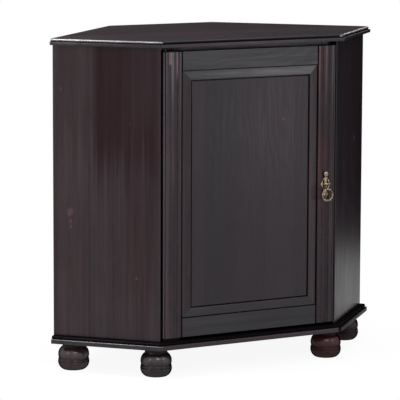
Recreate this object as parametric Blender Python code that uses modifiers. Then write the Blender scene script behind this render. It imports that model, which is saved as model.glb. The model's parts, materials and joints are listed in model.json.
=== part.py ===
"""A corner cupboard with one door, in dark stained pine, standing on six turned bun feet.

The front faces -Y, +Z is up, and the origin is on the floor under the middle of the whole.
The plan is a square set into the corner of a room, with its front corner cut off by the door
and its back corner cut off behind. Until a piece is put in its place, its depth is measured
from the front corners of the carcass. All lengths are in metres.
"""
import math

import bmesh
import bpy
from mathutils import Matrix, Vector

# The cupboard as a whole
HEIGHT = 0.850
FRONT_WIDTH = 0.512            # between the two front corners of the carcass
RETURN_LENGTH = 0.284          # each slanted side, from its front corner to the wall
CORNER_CUT = 0.220             # what the cut corner at the back takes off each wall side
FIT = 0.0003                   # clearance between pieces that touch
OVERRUN = 0.010                # how far a cutter reaches past what it cuts
TOP_BOARD = 0.016              # thickness of the top board
BASE_BOARD = 0.019             # thickness of the base board, whose fascia is the taller for it
OVERHANG = 0.020               # how far both boards stand out in front and at the returns
PANEL = 0.016                  # thickness of the side and wall panels
FRONT_FLAT = 0.0035            # narrow flat at the front edge of each side panel
BACK = 0.004                   # hardboard across the cut corner
PANEL_ARRIS = 0.0008           # rounding of the panel edges

# Moulded edge of both boards, measured from the outermost line and from the underside: a flat
# fascia with softened arrises, a sunk line and a rounded upper edge
FASCIA_ROUND = 0.0012
UPPER_EDGE = 0.0075            # sunk line and rounded edge together, above the fascia
QUIRK_DEPTH = 0.0060
QUIRK_HEIGHT = 0.0025
ROUND_INSET = 0.0045
ROUND_DEPTH = 0.0050

# Stops behind the door, and the shelf with its pins
STOP_PLANE = 0.023             # front faces of the stops
STOP_THICKNESS = 0.020
STOP_WIDTH = 0.034             # how far a stop post reaches in from its side panel
STOP_RAIL_HEIGHT = 0.040
STOP_ARRIS = 0.0010
SHELF = 0.016
SHELF_SET_BACK = 0.060
SHELF_PLAY = 0.0010
PIN_RADIUS = 0.0025
PIN_IN_PANEL = 0.0090
PIN_REACH = 0.0100
PIN_HOLE_DEPTH = 0.0095
PIN_ROW_PITCH = 0.064
SHELF_HEIGHT_SHARE = 0.50      # of the space between the boards
RETURN_PIN_SHARE = 0.60        # places of the pins along the panels they stand in
WALL_PIN_SHARES = (0.16, 0.86)

# Turned bun feet
FOOT_HEIGHT = 0.072
FRONT_FOOT_BEHIND = 0.032      # front feet, behind the front corners of the carcass
FRONT_FOOT_INSET = 0.0276      # and in from the outer face of the side panel
SIDE_FOOT_INSET = 0.0355       # side feet, in from the same face
WALL_FOOT_INSET = 0.041        # side and back feet, in from the walls
NECK_RADIUS = 0.0286
NECK_HEIGHT = 0.0127
CORE_RADIUS = 0.0200           # centre line of both bulges
LOWER_BULGE_REACH = 0.0202
LOWER_BULGE_RISE = 0.0220
LOWER_BULGE_HEIGHT = 0.0200
UPPER_BULGE_REACH = 0.0197
UPPER_BULGE_RISE = 0.0222
UPPER_BULGE_HEIGHT = 0.0385
NOTCH_HEIGHT = 0.0287
NOTCH_DEPTH = 0.0014
NOTCH_HALF_WIDTH = 0.0016
BULGE_TOP_HEIGHT = 0.0578
BOLT_RADIUS = 0.0040
BOLT_IN_FOOT = 0.0300
BOLT_IN_BOARD = 0.0110
BOLT_CLEARANCE = 0.0003

# Door frame, its panel and its moulding
DOOR_SIDE_GAP = 0.0085         # between a front corner of the carcass and the door's edge
DOOR_TOP_GAP = 0.0115
DOOR_BOTTOM_GAP = 0.008
FRAME_FRONT = 0.002            # front face of the stiles, which the fluted strips lie on
FRAME_THICKNESS = 0.018
STILE_WIDTH = 0.0515
REVEAL_FRONT = -0.005          # front of the narrow raised edge along each stile's outer side
REVEAL_WIDTH = 0.0038
REVEAL_ROUND = 0.0015          # rounding of its outer arris
TOP_RAIL_WIDTH = 0.047
BOTTOM_RAIL_WIDTH = 0.048
RAIL_FRONT = -0.0055           # raised front of the rails
RAIL_END_STEP = 0.0017         # how far the raised front stays back from a stile
FRAME_ARRIS = 0.0008
DOOR_PANEL = 0.006
PANEL_SET_BACK = 0.004         # from the front of the frame to the front of the panel
GROOVE_DEPTH = 0.008
TONGUE_PLAY = 0.0005
FIELD_FRONT = -0.0047          # raised field of the panel, inside the moulding
FIELD_CLEAR = 0.0032           # between the moulding and the field
MOULDING_CLEAR = 0.0025        # between the frame and the moulding
MOULDING_WIDTH = 0.0225
MOULDING_OUTER = 0.0090        # height above the panel at the frame
MOULDING_INNER = 0.0129        # height above the panel at the inner edge
MOULDING_LIP = 0.0010
MOULDING_NOSE = 0.0012
MOULDING_SWELL_SHARE = 0.07

# Fluted strips on the stiles
FLUTED_INSET = 0.0015          # from the stile's inner edge
FLUTED_WIDTH = 0.0448
FLUTED_THICKNESS = 0.010
FLUTED_EDGE = 0.0082           # height of the strip at its edges
FLUTED_EDGE_ROUND = 0.0016
SIDE_FLUTE_WIDTH = 0.0120
RIDGE_WIDTH = 0.0008
SIDE_FLUTE_DEPTH = 0.0010
MIDDLE_FLUTE_DEPTH = 0.0018

# Pivot hinges in the gaps above and below the door
PIVOT_FROM_EDGE = 0.008        # from the door's left edge
PIVOT_PLANE = 0.003            # y of the axis
LEAF = 0.003                   # thickness of a leaf
LEAF_LENGTH = 0.048
LEAF_FRONT = 0.0045            # how far a leaf reaches in front of the axis
LEAF_BEHIND = 0.014            # and behind it
LEAF_ROUND = 0.003
LEAF_END = 0.006               # how far a leaf reaches past the axis towards the side
HINGE_PIN_RADIUS = 0.0025
WASHER_RADIUS = 0.0042
PIN_PLAY = 0.0003
HINGE_SCREW_PLACE = 0.030      # from the axis along a leaf
HINGE_SCREW_BEHIND = 0.006     # from the axis, behind it
SCREW_SHANK = 0.0016
SCREW_HEAD = 0.0030
SCREW_HEAD_DEPTH = 0.0016
SCREW_LENGTH = 0.0140

# Magnetic catch
CATCH_HEIGHT = 0.560
CATCH_LENGTH = 0.040
CATCH_WIDTH = 0.014
CATCH_DEPTH = 0.018
CATCH_ARRIS = 0.0015
STRIKE_LENGTH = 0.030
STRIKE_WIDTH = 0.016
STRIKE_THICKNESS = 0.0011
STRIKE_ARRIS = 0.0003
CATCH_AIR = 0.0004             # between the closed strike and the catch

# Ring pull on the right stile; heights are measured from its post
PULL_HEIGHT = 0.452
PULL_FROM_INNER = 0.0227       # from the stile's inner edge
PLATE = 0.0016
OVAL_CENTRE = 0.0120
OVAL_HALF_WIDTH = 0.0120
OVAL_HALF_HEIGHT = 0.0175
OVAL_BAND = 0.0032
ARM_HALF_HEIGHT = 0.0021
STEM_HALF_WIDTH = 0.0034
KNOB_RADIUS = 0.0026           # the small knobs at both ends of the oval's arms
NECK_HALF_WIDTH = 0.0021
NECK_TOP = 0.0335
TAIL_NECK = 0.0042             # half width of the plate where its tail leaves the oval
TAIL_LENGTH = 0.0270
TAIL_SHAPE = ((0.24, 0.0040), (0.34, 0.0060), (0.46, 0.0074), (0.58, 0.0074), (0.68, 0.0060),
              (0.76, 0.0036), (0.83, 0.0020), (0.90, 0.0025), (0.97, 0.0014))
FINIAL_RADIUS = 0.0065
FINIAL_HALF_DEPTH = 0.0033
FINIAL_HEIGHT = 0.0385
BOSS_RADIUS = 0.0050
BOSS_HALF_DEPTH = 0.0026
POST_REACH = 0.0120            # from the stile's ridges to the centre of the eye
POST_FOOT_RADIUS = 0.0042
POST_FOOT = 0.0012
POST_STEM_RADIUS = 0.0028
POST_HEAD_RADIUS = 0.0047
EYE_RADIUS = 0.0027
RING_RADIUS = 0.0150           # centre line of the ring
RING_WIRE = 0.0018
RING_BEAD_RADIUS = 0.0034
RING_BEAD_SPREAD_SHARE = 0.085  # of a turn, from the lowest bead to each of its neighbours
PULL_SCREW_RADIUS = 0.0020
PULL_SCREW_HEAD = 0.0038
PULL_SCREW_HEAD_DEPTH = 0.0024
PULL_SCREW_RECESS = 0.0028
PULL_SCREW_IN_POST = 0.0040
PULL_HOLE_RADIUS = 0.0024
PULL_THREAD_PLAY = 0.0003

# How finely round shapes are divided
FOOT_STEPS = 28
BULGE_STEPS = 5
ROUND_STEPS = 5
FLUTE_STEPS = 6
SMALL_STEPS = 12
HEAD_STEPS = 16
WIRE_STEPS = 8
RING_STEPS = 36

SLANT = math.sqrt(0.5)         # sine and cosine of the 45 degrees between front and returns
RIGHT = 1
LEFT = -1
SIDES = (("left", LEFT), ("right", RIGHT))

# Colour, roughness and metallic value of each finish
FINISHES = {
    "stained_pine": ((0.022, 0.014, 0.013), 0.42, 0.0),
    "hardboard": ((0.060, 0.035, 0.022), 0.70, 0.0),
    "aged_brass": ((0.360, 0.250, 0.090), 0.38, 1.0),
    "bronzed_steel": ((0.045, 0.035, 0.028), 0.45, 1.0),
    "bright_steel": ((0.450, 0.450, 0.460), 0.32, 1.0),
    "brown_plastic": ((0.050, 0.028, 0.018), 0.50, 0.0),
    "black_nylon": ((0.020, 0.020, 0.021), 0.55, 0.0),
}

# Places that follow from the sizes
BASE_BOTTOM = FOOT_HEIGHT
BASE_TOP = FOOT_HEIGHT + BASE_BOARD
TOP_BOTTOM = HEIGHT - TOP_BOARD
PANEL_LOW = BASE_TOP + FIT
PANEL_HIGH = TOP_BOTTOM - FIT
WALL_LENGTH = FRONT_WIDTH * SLANT + RETURN_LENGTH - CORNER_CUT
BACK_Y = (RETURN_LENGTH + WALL_LENGTH) * SLANT
SLANT_LEVEL = FRONT_WIDTH / 2 * SLANT
WALL_LEVEL = SLANT_LEVEL + RETURN_LENGTH

DOOR_EDGE = FRONT_WIDTH / 2 - DOOR_SIDE_GAP
DOOR_LOW = BASE_TOP + DOOR_BOTTOM_GAP
DOOR_HIGH = TOP_BOTTOM - DOOR_TOP_GAP
DOOR_BACK = FRAME_FRONT + FRAME_THICKNESS
STILE_INNER = DOOR_EDGE - STILE_WIDTH
RAIL_LOW_TOP = DOOR_LOW + BOTTOM_RAIL_WIDTH
RAIL_HIGH_BOTTOM = DOOR_HIGH - TOP_RAIL_WIDTH
PANEL_FRONT = FRAME_FRONT + PANEL_SET_BACK
PANEL_REAR = PANEL_FRONT + DOOR_PANEL
RIDGE_PLANE = FRAME_FRONT - FIT - FLUTED_THICKNESS
PIVOT_X = -DOOR_EDGE + PIVOT_FROM_EDGE
PULL_X = STILE_INNER + PULL_FROM_INNER
EYE_Y = RIDGE_PLANE - POST_REACH

SHELF_LOW = BASE_TOP + (TOP_BOTTOM - BASE_TOP) * SHELF_HEIGHT_SHARE - SHELF / 2
PIN_Z = SHELF_LOW - FIT - PIN_RADIUS
DOOR_PIVOT = Vector((PIVOT_X, PIVOT_PLANE, DOOR_LOW))
RING_PIVOT = Vector((PULL_X, EYE_Y, PULL_HEIGHT))
FOREMOST = EYE_Y - POST_HEAD_RADIUS
TO_ORIGIN = Matrix.Translation((0, -(BACK_Y + FOREMOST) / 2, 0))

UPRIGHT = Matrix.Identity(4)
# A cross-section drawn as (depth, height) and pushed out along X
ALONG_X = Matrix(((0, 0, 1, 0), (1, 0, 0, 0), (0, 1, 0, 0), (0, 0, 0, 1)))
# An outline drawn as (x, height) as seen from the front, pushed out towards the back
FROM_FRONT = Matrix(((1, 0, 0, 0), (0, 0, 1, 0), (0, 1, 0, 0), (0, 0, 0, 1)))


def clear_scene():
    for old in list(bpy.data.objects):
        bpy.data.objects.remove(old, do_unlink=True)


def new_collection(name):
    collection = bpy.data.collections.new(name)
    bpy.context.scene.collection.children.link(collection)
    return collection


clear_scene()
PARTS = new_collection("corner_cupboard")
CUTTERS = new_collection("cutters")


def paint(piece, kind):
    """Gives a piece a material of its own."""
    colour, roughness, metallic = FINISHES[kind]
    material = bpy.data.materials.new(piece.name + "_" + kind)
    material.use_nodes = True
    shader = material.node_tree.nodes["Principled BSDF"]
    shader.inputs["Base Color"].default_value = (*colour, 1.0)
    shader.inputs["Roughness"].default_value = roughness
    shader.inputs["Metallic"].default_value = metallic
    material.diffuse_color = (*colour, 1.0)
    piece.data.materials.clear()
    piece.data.materials.append(material)


def place(name, mesh, matrix, kind):
    """Puts a mesh into the scene as a part, or as a cutter when it has no finish."""
    piece = bpy.data.objects.new(name, mesh)
    piece.matrix_world = TO_ORIGIN @ matrix
    if kind is None:
        CUTTERS.objects.link(piece)
        piece.hide_render = True
        piece.display_type = "WIRE"
    else:
        PARTS.objects.link(piece)
        paint(piece, kind)
    return piece


def shade_round(piece, angle=math.radians(35)):
    piece.data.shade_smooth()
    piece.data.set_sharp_from_angle(angle=angle)


def prism(name, outlines, start, end, frame, kind):
    """Pushes a flat outline out from start to end along the frame's third axis."""
    curve = bpy.data.curves.new(name, "CURVE")
    curve.dimensions = "2D"
    curve.fill_mode = "BOTH"
    curve.extrude = (end - start) / 2
    if not isinstance(outlines[0], list):
        outlines = [outlines]
    for outline in outlines:
        spline = curve.splines.new("POLY")
        spline.points.add(len(outline) - 1)
        for point, (x, y) in zip(spline.points, outline):
            point.co = (x, y, 0, 1)
        spline.use_cyclic_u = True
    flat = bpy.data.objects.new(name, curve)
    flat.matrix_world = frame @ Matrix.Translation((0, 0, (start + end) / 2))
    PARTS.objects.link(flat)
    bpy.context.view_layer.update()
    solid = bpy.data.meshes.new_from_object(flat.evaluated_get(bpy.context.evaluated_depsgraph_get()))
    matrix = flat.matrix_world.copy()
    bpy.data.objects.remove(flat, do_unlink=True)
    edit = bmesh.new()
    edit.from_mesh(solid)
    bmesh.ops.remove_doubles(edit, verts=edit.verts, dist=FIT / 10)
    bmesh.ops.dissolve_limit(edit, angle_limit=math.radians(0.1), verts=edit.verts, edges=edit.edges)
    bmesh.ops.recalc_face_normals(edit, faces=edit.faces)
    edit.to_mesh(solid)
    edit.free()
    solid.name = name
    return place(name, solid, matrix, kind)


def box(name, low, high, kind):
    """A box between two corners, with its origin at its centre."""
    low = Vector(low)
    high = Vector(high)
    mesh = bpy.data.meshes.new(name)
    edit = bmesh.new()
    bmesh.ops.create_cube(edit, size=1)
    bmesh.ops.scale(edit, vec=high - low, verts=edit.verts)
    edit.to_mesh(mesh)
    edit.free()
    return place(name, mesh, Matrix.Translation((low + high) / 2), kind)


def turned(name, profile, matrix, kind, steps):
    """Turns a profile of (radius, height) points about the matrix's Z axis."""
    mesh = bpy.data.meshes.new(name)
    points = [(radius, 0, height) for radius, height in profile]
    mesh.from_pydata(points, [(i, i + 1) for i in range(len(points) - 1)], [])
    piece = place(name, mesh, matrix, kind)
    screw = piece.modifiers.new("turning", "SCREW")
    screw.axis = "Z"
    screw.angle = math.tau
    screw.steps = steps
    screw.render_steps = steps
    screw.use_merge_vertices = True
    screw.merge_threshold = FIT / 10
    screw.use_smooth_shade = True
    return piece


def rods(name, places, radius, length, kind):
    """Cylinders of one size, each centred on a (point, direction) pair; the first has the origin."""
    mesh = bpy.data.meshes.new(name)
    edit = bmesh.new()
    first = Vector(places[0][0])
    for point, direction in places:
        turn = Vector(direction).to_track_quat("Z", "Y").to_matrix().to_4x4()
        matrix = Matrix.Translation(Vector(point) - first) @ turn
        bmesh.ops.create_cone(edit, cap_ends=True, segments=SMALL_STEPS, radius1=radius,
                              radius2=radius, depth=length, matrix=matrix)
    edit.to_mesh(mesh)
    edit.free()
    return place(name, mesh, Matrix.Translation(first), kind)


def cut(piece, cutter, operation="DIFFERENCE"):
    modifier = piece.modifiers.new(cutter.name, "BOOLEAN")
    modifier.operation = operation
    modifier.object = cutter
    modifier.solver = "EXACT"


def soften(piece, width):
    """Takes the sharpness off a piece's edges."""
    bevel = piece.modifiers.new("arris", "BEVEL")
    bevel.width = width
    bevel.segments = 2
    bevel.limit_method = "ANGLE"
    bevel.angle_limit = math.radians(40)


def arc(centre, radii, start, end, steps):
    """Points along an ellipse, from one angle to another, in degrees."""
    points = []
    for step in range(steps + 1):
        angle = math.radians(start + (end - start) * step / steps)
        points.append((centre[0] + radii[0] * math.cos(angle), centre[1] + radii[1] * math.sin(angle)))
    return points


def hollow(start, end, depth, steps):
    """Points from start to end along a shallow dip, without the two ends."""
    points = []
    for step in range(1, steps):
        share = step / steps
        across = start[0] + (end[0] - start[0]) * share
        level = start[1] + (end[1] - start[1]) * share
        points.append((across, level - depth * 4 * share * (1 - share)))
    return points


def front_corner(front, slanted):
    """Plan corner between the front and the right return, each moved out by its amount."""
    return ((SLANT_LEVEL + slanted) / SLANT - front, -front)


def side_corner(slanted, wall):
    """Plan corner between the right return and the right wall."""
    level = SLANT_LEVEL + slanted
    reach = WALL_LEVEL + wall
    return ((level + reach) / (2 * SLANT), (reach - level) / (2 * SLANT))


def back_corner(wall, back):
    """Plan corner between the right wall and the cut corner."""
    return ((WALL_LEVEL + wall) / SLANT - BACK_Y - back, BACK_Y + back)


def whole_plan(front, slanted, wall, back):
    right = [front_corner(front, slanted), side_corner(slanted, wall), back_corner(wall, back)]
    return right + [(-x, y) for x, y in reversed(right)]


def on_side(outline, side):
    return [(side * x, y) for x, y in outline]


def between(start, end, share):
    return (start[0] + (end[0] - start[0]) * share, start[1] + (end[1] - start[1]) * share)


def foot_places():
    """Name and plan place of each foot."""
    right = (("front", front_corner(-FRONT_FOOT_BEHIND, -FRONT_FOOT_INSET)),
             ("side", side_corner(-SIDE_FOOT_INSET, -WALL_FOOT_INSET)),
             ("back", back_corner(-WALL_FOOT_INSET, -WALL_FOOT_INSET)))
    return [(f"{side}_{where}", sign * x, y) for side, sign in SIDES for where, (x, y) in right]


def pin_places():
    """Name, plan place on the panel's inner face and inward direction of each shelf pin."""
    places = []
    for side, sign in SIDES:
        start = front_corner(0, -PANEL)
        corner = side_corner(-PANEL, -PANEL)
        end = back_corner(-PANEL, -BACK)
        spots = [("side", between(start, corner, RETURN_PIN_SHARE), (-SLANT, SLANT))]
        for number, share in enumerate(WALL_PIN_SHARES, 1):
            spots.append((f"wall_{number}", between(corner, end, share), (-SLANT, -SLANT)))
        for where, (x, y), (nx, ny) in spots:
            places.append((f"{side}_{where}", side, where, (sign * x, y), (sign * nx, ny)))
    return places


def board_edge_profile(thickness):
    """Outline of what is taken off a board's edge, as (in from the edge, up from the underside)."""
    radii = (FASCIA_ROUND, FASCIA_ROUND)
    fascia_high = thickness - UPPER_EDGE
    fascia = arc((FASCIA_ROUND, FASCIA_ROUND), radii, 270, 180, ROUND_STEPS)
    fascia += arc((FASCIA_ROUND, fascia_high - FASCIA_ROUND), radii, 180, 90, ROUND_STEPS)
    shoulder = fascia_high + QUIRK_HEIGHT
    top_round = arc((ROUND_INSET + ROUND_DEPTH, shoulder), (ROUND_DEPTH, thickness - shoulder), 180, 90,
                    ROUND_STEPS)
    edge = [(FASCIA_ROUND, -OVERRUN)] + fascia
    edge += [(QUIRK_DEPTH, fascia_high), (QUIRK_DEPTH, shoulder)] + top_round
    edge.append((ROUND_INSET + ROUND_DEPTH, thickness + OVERRUN))
    edge.append((-OVERRUN, thickness + OVERRUN))
    edge.append((-OVERRUN, -OVERRUN))
    return edge


def moulded_board(name, low, thickness):
    """A board with the plan's outline and a moulded edge along the front and both returns."""
    plan = whole_plan(OVERHANG, OVERHANG, 0, 0)
    board = prism(name, plan, low, low + thickness, UPRIGHT, "stained_pine")
    corner = Vector((*front_corner(OVERHANG, OVERHANG), low))
    side = Vector((*side_corner(OVERHANG, 0), low))
    edges = [("front", Vector((0, corner.y, low)), Vector((0, 1, 0)), 2 * corner.x)]
    for where, sign in SIDES:
        middle = (corner + side) / 2
        middle.x *= sign
        inward = Vector((-sign * SLANT, SLANT, 0))
        edges.append((where, middle, inward, (side - corner).length))
    profile = board_edge_profile(thickness)
    for where, middle, inward, length in edges:
        up = Vector((0, 0, 1))
        frame = Matrix.Translation(middle) @ Matrix((inward, up, inward.cross(up))).transposed().to_4x4()
        reach = length / 2 + 2 * OVERHANG
        cut(board, prism(f"{name}_{where}_edge", profile, -reach, reach, frame, None))
    return board


def make_boards():
    moulded_board("top_board", TOP_BOTTOM, TOP_BOARD)
    base = moulded_board("base_board", BASE_BOTTOM, BASE_BOARD)
    holes = [((x, y, BASE_BOTTOM + BOLT_IN_BOARD / 2), (0, 0, 1)) for _, x, y in foot_places()]
    depth = BOLT_IN_BOARD + 2 * BOLT_CLEARANCE
    cut(base, rods("base_bolt_holes", holes, BOLT_RADIUS + BOLT_CLEARANCE, depth, None))


def make_side_panels():
    """The two slanted returns, each with a narrow flat at the front and a square back edge."""
    inner_x = front_corner(0, 0)[0] - FRONT_FLAT
    outline = [front_corner(0, 0), side_corner(0, 0), side_corner(-PANEL, 0),
               (inner_x, PANEL / SLANT - FRONT_FLAT), (inner_x, 0)]
    for side, sign in SIDES:
        panel = prism(f"{side}_side_panel", on_side(outline, sign), PANEL_LOW, PANEL_HIGH, UPRIGHT,
                      "stained_pine")
        soften(panel, PANEL_ARRIS)
        drill_pin_holes(panel, side, "side")


def make_wall_panels():
    """The two panels along the walls, butted against the returns."""
    outline = [side_corner(-PANEL - FIT, 0), back_corner(0, -BACK - FIT),
               back_corner(-PANEL, -BACK - FIT), side_corner(-PANEL - FIT, -PANEL)]
    for side, sign in SIDES:
        panel = prism(f"{side}_wall_panel", on_side(outline, sign), PANEL_LOW, PANEL_HIGH, UPRIGHT,
                      "stained_pine")
        soften(panel, PANEL_ARRIS)
        drill_pin_holes(panel, side, "wall")


def drill_pin_holes(panel, side, wall_or_side):
    """Blind holes for the shelf pins, in three rows so that the shelf can be moved."""
    holes = []
    for _, pin_side, where, (x, y), (nx, ny) in pin_places():
        if pin_side != side or not where.startswith(wall_or_side):
            continue
        inset = PIN_HOLE_DEPTH / 2 - OVERRUN / 2
        for row in (-1, 0, 1):
            centre = (x - nx * inset, y - ny * inset, PIN_Z + row * PIN_ROW_PITCH)
            holes.append((centre, (nx, ny, 0)))
    length = PIN_HOLE_DEPTH + OVERRUN
    cut(panel, rods(panel.name + "_pin_holes", holes, PIN_RADIUS + PIN_PLAY, length, None))


def make_corner_back():
    outline = [back_corner(0, -BACK), back_corner(0, 0)]
    outline += [(-x, y) for x, y in reversed(outline)]
    prism("corner_back_panel", outline, PANEL_LOW, PANEL_HIGH, UPRIGHT, "hardboard")


def make_stops():
    """Two posts and a rail behind the door, which close the gaps round it."""
    inner_face = front_corner(0, -PANEL - FIT)[0]
    near = (inner_face + STOP_PLANE, STOP_PLANE)
    far = (inner_face + STOP_PLANE + STOP_THICKNESS, STOP_PLANE + STOP_THICKNESS)
    inner = near[0] - STOP_WIDTH
    outline = [near, far, (inner, far[1]), (inner, near[1])]
    for side, sign in SIDES:
        post = prism(f"{side}_stop_post", on_side(outline, sign), PANEL_LOW, PANEL_HIGH, UPRIGHT,
                     "stained_pine")
        soften(post, STOP_ARRIS)
    rail = box("top_stop_rail", (-inner + FIT, STOP_PLANE, PANEL_HIGH - STOP_RAIL_HEIGHT),
               (inner - FIT, STOP_PLANE + STOP_THICKNESS, PANEL_HIGH), "stained_pine")
    soften(rail, STOP_ARRIS)
    return inner


def make_shelf():
    inset = -PANEL - SHELF_PLAY
    plan = whole_plan(-SHELF_SET_BACK, inset, inset, -BACK - SHELF_PLAY)
    shelf = prism("shelf", plan, SHELF_LOW, SHELF_LOW + SHELF, UPRIGHT, "stained_pine")
    soften(shelf, STOP_ARRIS)
    for name, _, _, (x, y), (nx, ny) in pin_places():
        middle = (PIN_REACH - PIN_IN_PANEL) / 2
        centre = (x + nx * middle, y + ny * middle, PIN_Z)
        pin = rods(f"shelf_pin_{name}", [(centre, (nx, ny, 0))], PIN_RADIUS, PIN_REACH + PIN_IN_PANEL,
                   "bright_steel")
        shade_round(pin)


def bulge(height, reach, rise, start, end):
    """Part of one of a foot's two bulges, from one angle down to another."""
    return arc((CORE_RADIUS, height), (reach, rise), start, end, BULGE_STEPS)


def angle_at(height, centre, rise):
    return math.degrees(math.asin(max(-1.0, min(1.0, (height - centre) / rise))))


def foot_profile():
    top = FOOT_HEIGHT - FIT
    hole = BOLT_RADIUS + BOLT_CLEARANCE
    hole_floor = top - BOLT_IN_FOOT - BOLT_CLEARANCE
    profile = [(0, hole_floor), (hole, hole_floor), (hole, top), (NECK_RADIUS, top),
               (NECK_RADIUS, top - NECK_HEIGHT)]
    upper = (UPPER_BULGE_HEIGHT, UPPER_BULGE_REACH, UPPER_BULGE_RISE)
    lower = (LOWER_BULGE_HEIGHT, LOWER_BULGE_REACH, LOWER_BULGE_RISE)
    high = angle_at(BULGE_TOP_HEIGHT, upper[0], upper[2])
    notch_top = angle_at(NOTCH_HEIGHT + NOTCH_HALF_WIDTH, upper[0], upper[2])
    profile += bulge(*upper, high, notch_top)
    notch_low = angle_at(NOTCH_HEIGHT - NOTCH_HALF_WIDTH, lower[0], lower[2])
    lower_bulge = bulge(*lower, notch_low, angle_at(0, lower[0], lower[2]))
    profile.append((lower_bulge[0][0] - NOTCH_DEPTH, NOTCH_HEIGHT))
    return profile + lower_bulge + [(0, 0)]


def make_feet():
    profile = foot_profile()
    length = BOLT_IN_FOOT + BOLT_IN_BOARD
    middle = FOOT_HEIGHT - FIT - BOLT_IN_FOOT + length / 2
    for name, x, y in foot_places():
        turned(f"{name}_foot", profile, Matrix.Translation((x, y, 0)), "stained_pine", FOOT_STEPS)
        bolt = rods(f"{name}_foot_bolt", [((x, y, middle), (0, 0, 1))], BOLT_RADIUS, length,
                    "bright_steel")
        shade_round(bolt)


def make_stiles():
    """The door's upright frame members, grooved for the panel, each with a raised outer edge."""
    groove = STILE_INNER + GROOVE_DEPTH
    reveal = DOOR_EDGE - REVEAL_WIDTH
    corner = (DOOR_EDGE - REVEAL_ROUND, REVEAL_FRONT + REVEAL_ROUND)
    outline = arc(corner, (REVEAL_ROUND, REVEAL_ROUND), 270, 360, ROUND_STEPS)
    outline += [(DOOR_EDGE, DOOR_BACK), (STILE_INNER, DOOR_BACK),
               (STILE_INNER, PANEL_REAR + FIT), (groove, PANEL_REAR + FIT), (groove, PANEL_FRONT - FIT),
               (STILE_INNER, PANEL_FRONT - FIT), (STILE_INNER, FRAME_FRONT), (reveal, FRAME_FRONT),
               (reveal, REVEAL_FRONT)]
    stiles = []
    for side, sign in SIDES:
        stile = prism(f"door_{side}_stile", on_side(outline, sign), DOOR_LOW, DOOR_HIGH, UPRIGHT,
                      "stained_pine")
        soften(stile, FRAME_ARRIS)
        stiles.append(stile)
    drill_for_pull(stiles[1])
    recess = (PULL_X, DOOR_BACK - PULL_SCREW_RECESS / 2 + OVERRUN / 2, PULL_HEIGHT)
    radius = PULL_SCREW_HEAD + PULL_THREAD_PLAY
    cut(stiles[1], rods("pull_screw_recess", [(recess, (0, 1, 0))], radius,
                        PULL_SCREW_RECESS + OVERRUN, None))
    sunk = DOOR_LOW + SCREW_LENGTH / 2
    raised = DOOR_HIGH - SCREW_LENGTH / 2
    spots = [((*hinge_screw_place(), z), (0, 0, 1)) for z in (sunk, raised)]
    cut(stiles[0], rods("leaf_screw_holes", spots, SCREW_SHANK + PIN_PLAY, SCREW_LENGTH, None))
    return stiles


def drill_for_pull(piece):
    hole = rods(piece.name + "_pull_hole", [((PULL_X, 0, PULL_HEIGHT), (0, 1, 0))], PULL_HOLE_RADIUS,
                2 * DOOR_BACK + 2 * FLUTED_THICKNESS, None)
    cut(piece, hole)


def make_rails():
    """The door's cross members, with a raised front and a tongue at each end."""
    half = STILE_INNER + GROOVE_DEPTH - TONGUE_PLAY
    shoulder = STILE_INNER - FIT
    raised = shoulder - RAIL_END_STEP
    cutters = []
    for side, sign in SIDES:
        claw = [(raised, -OVERRUN), (half + OVERRUN, -OVERRUN), (half + OVERRUN, DOOR_BACK + OVERRUN),
                (shoulder, DOOR_BACK + OVERRUN), (shoulder, PANEL_REAR), (half, PANEL_REAR),
                (half, PANEL_FRONT), (shoulder, PANEL_FRONT), (shoulder, FRAME_FRONT),
                (raised, FRAME_FRONT)]
        cutters.append(prism(f"{side}_shoulders", on_side(claw, sign), DOOR_LOW - OVERRUN,
                             DOOR_HIGH + OVERRUN, UPRIGHT, None))
    rails = []
    for where, outer, inner in (("bottom", DOOR_LOW, RAIL_LOW_TOP), ("top", DOOR_HIGH, RAIL_HIGH_BOTTOM)):
        inward = math.copysign(GROOVE_DEPTH, outer - inner)
        outline = [(RAIL_FRONT, outer), (DOOR_BACK, outer), (DOOR_BACK, inner),
                   (PANEL_REAR + FIT, inner), (PANEL_REAR + FIT, inner + inward),
                   (PANEL_FRONT - FIT, inner + inward), (PANEL_FRONT - FIT, inner), (RAIL_FRONT, inner)]
        reach = half + OVERRUN / 2
        rail = prism(f"door_{where}_rail", outline, -reach, reach, ALONG_X, "stained_pine")
        for cutter in cutters:
            cut(rail, cutter)
        soften(rail, FRAME_ARRIS)
        rails.append(rail)
    return rails


def make_door_panel():
    """The panel in the frame's grooves, with a raised field inside the moulding."""
    edge = GROOVE_DEPTH - TONGUE_PLAY
    reach = STILE_INNER + edge
    panel = box("door_panel", (-reach, PANEL_FRONT, RAIL_LOW_TOP - edge),
                (reach, PANEL_REAR, RAIL_HIGH_BOTTOM + edge), "stained_pine")
    margin = MOULDING_CLEAR + MOULDING_WIDTH + FIELD_CLEAR
    field = box("panel_field", (margin - STILE_INNER, FIELD_FRONT, RAIL_LOW_TOP + margin),
                (STILE_INNER - margin, PANEL_REAR - DOOR_PANEL / 2, RAIL_HIGH_BOTTOM - margin), None)
    cut(panel, field, "UNION")
    return panel


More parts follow.
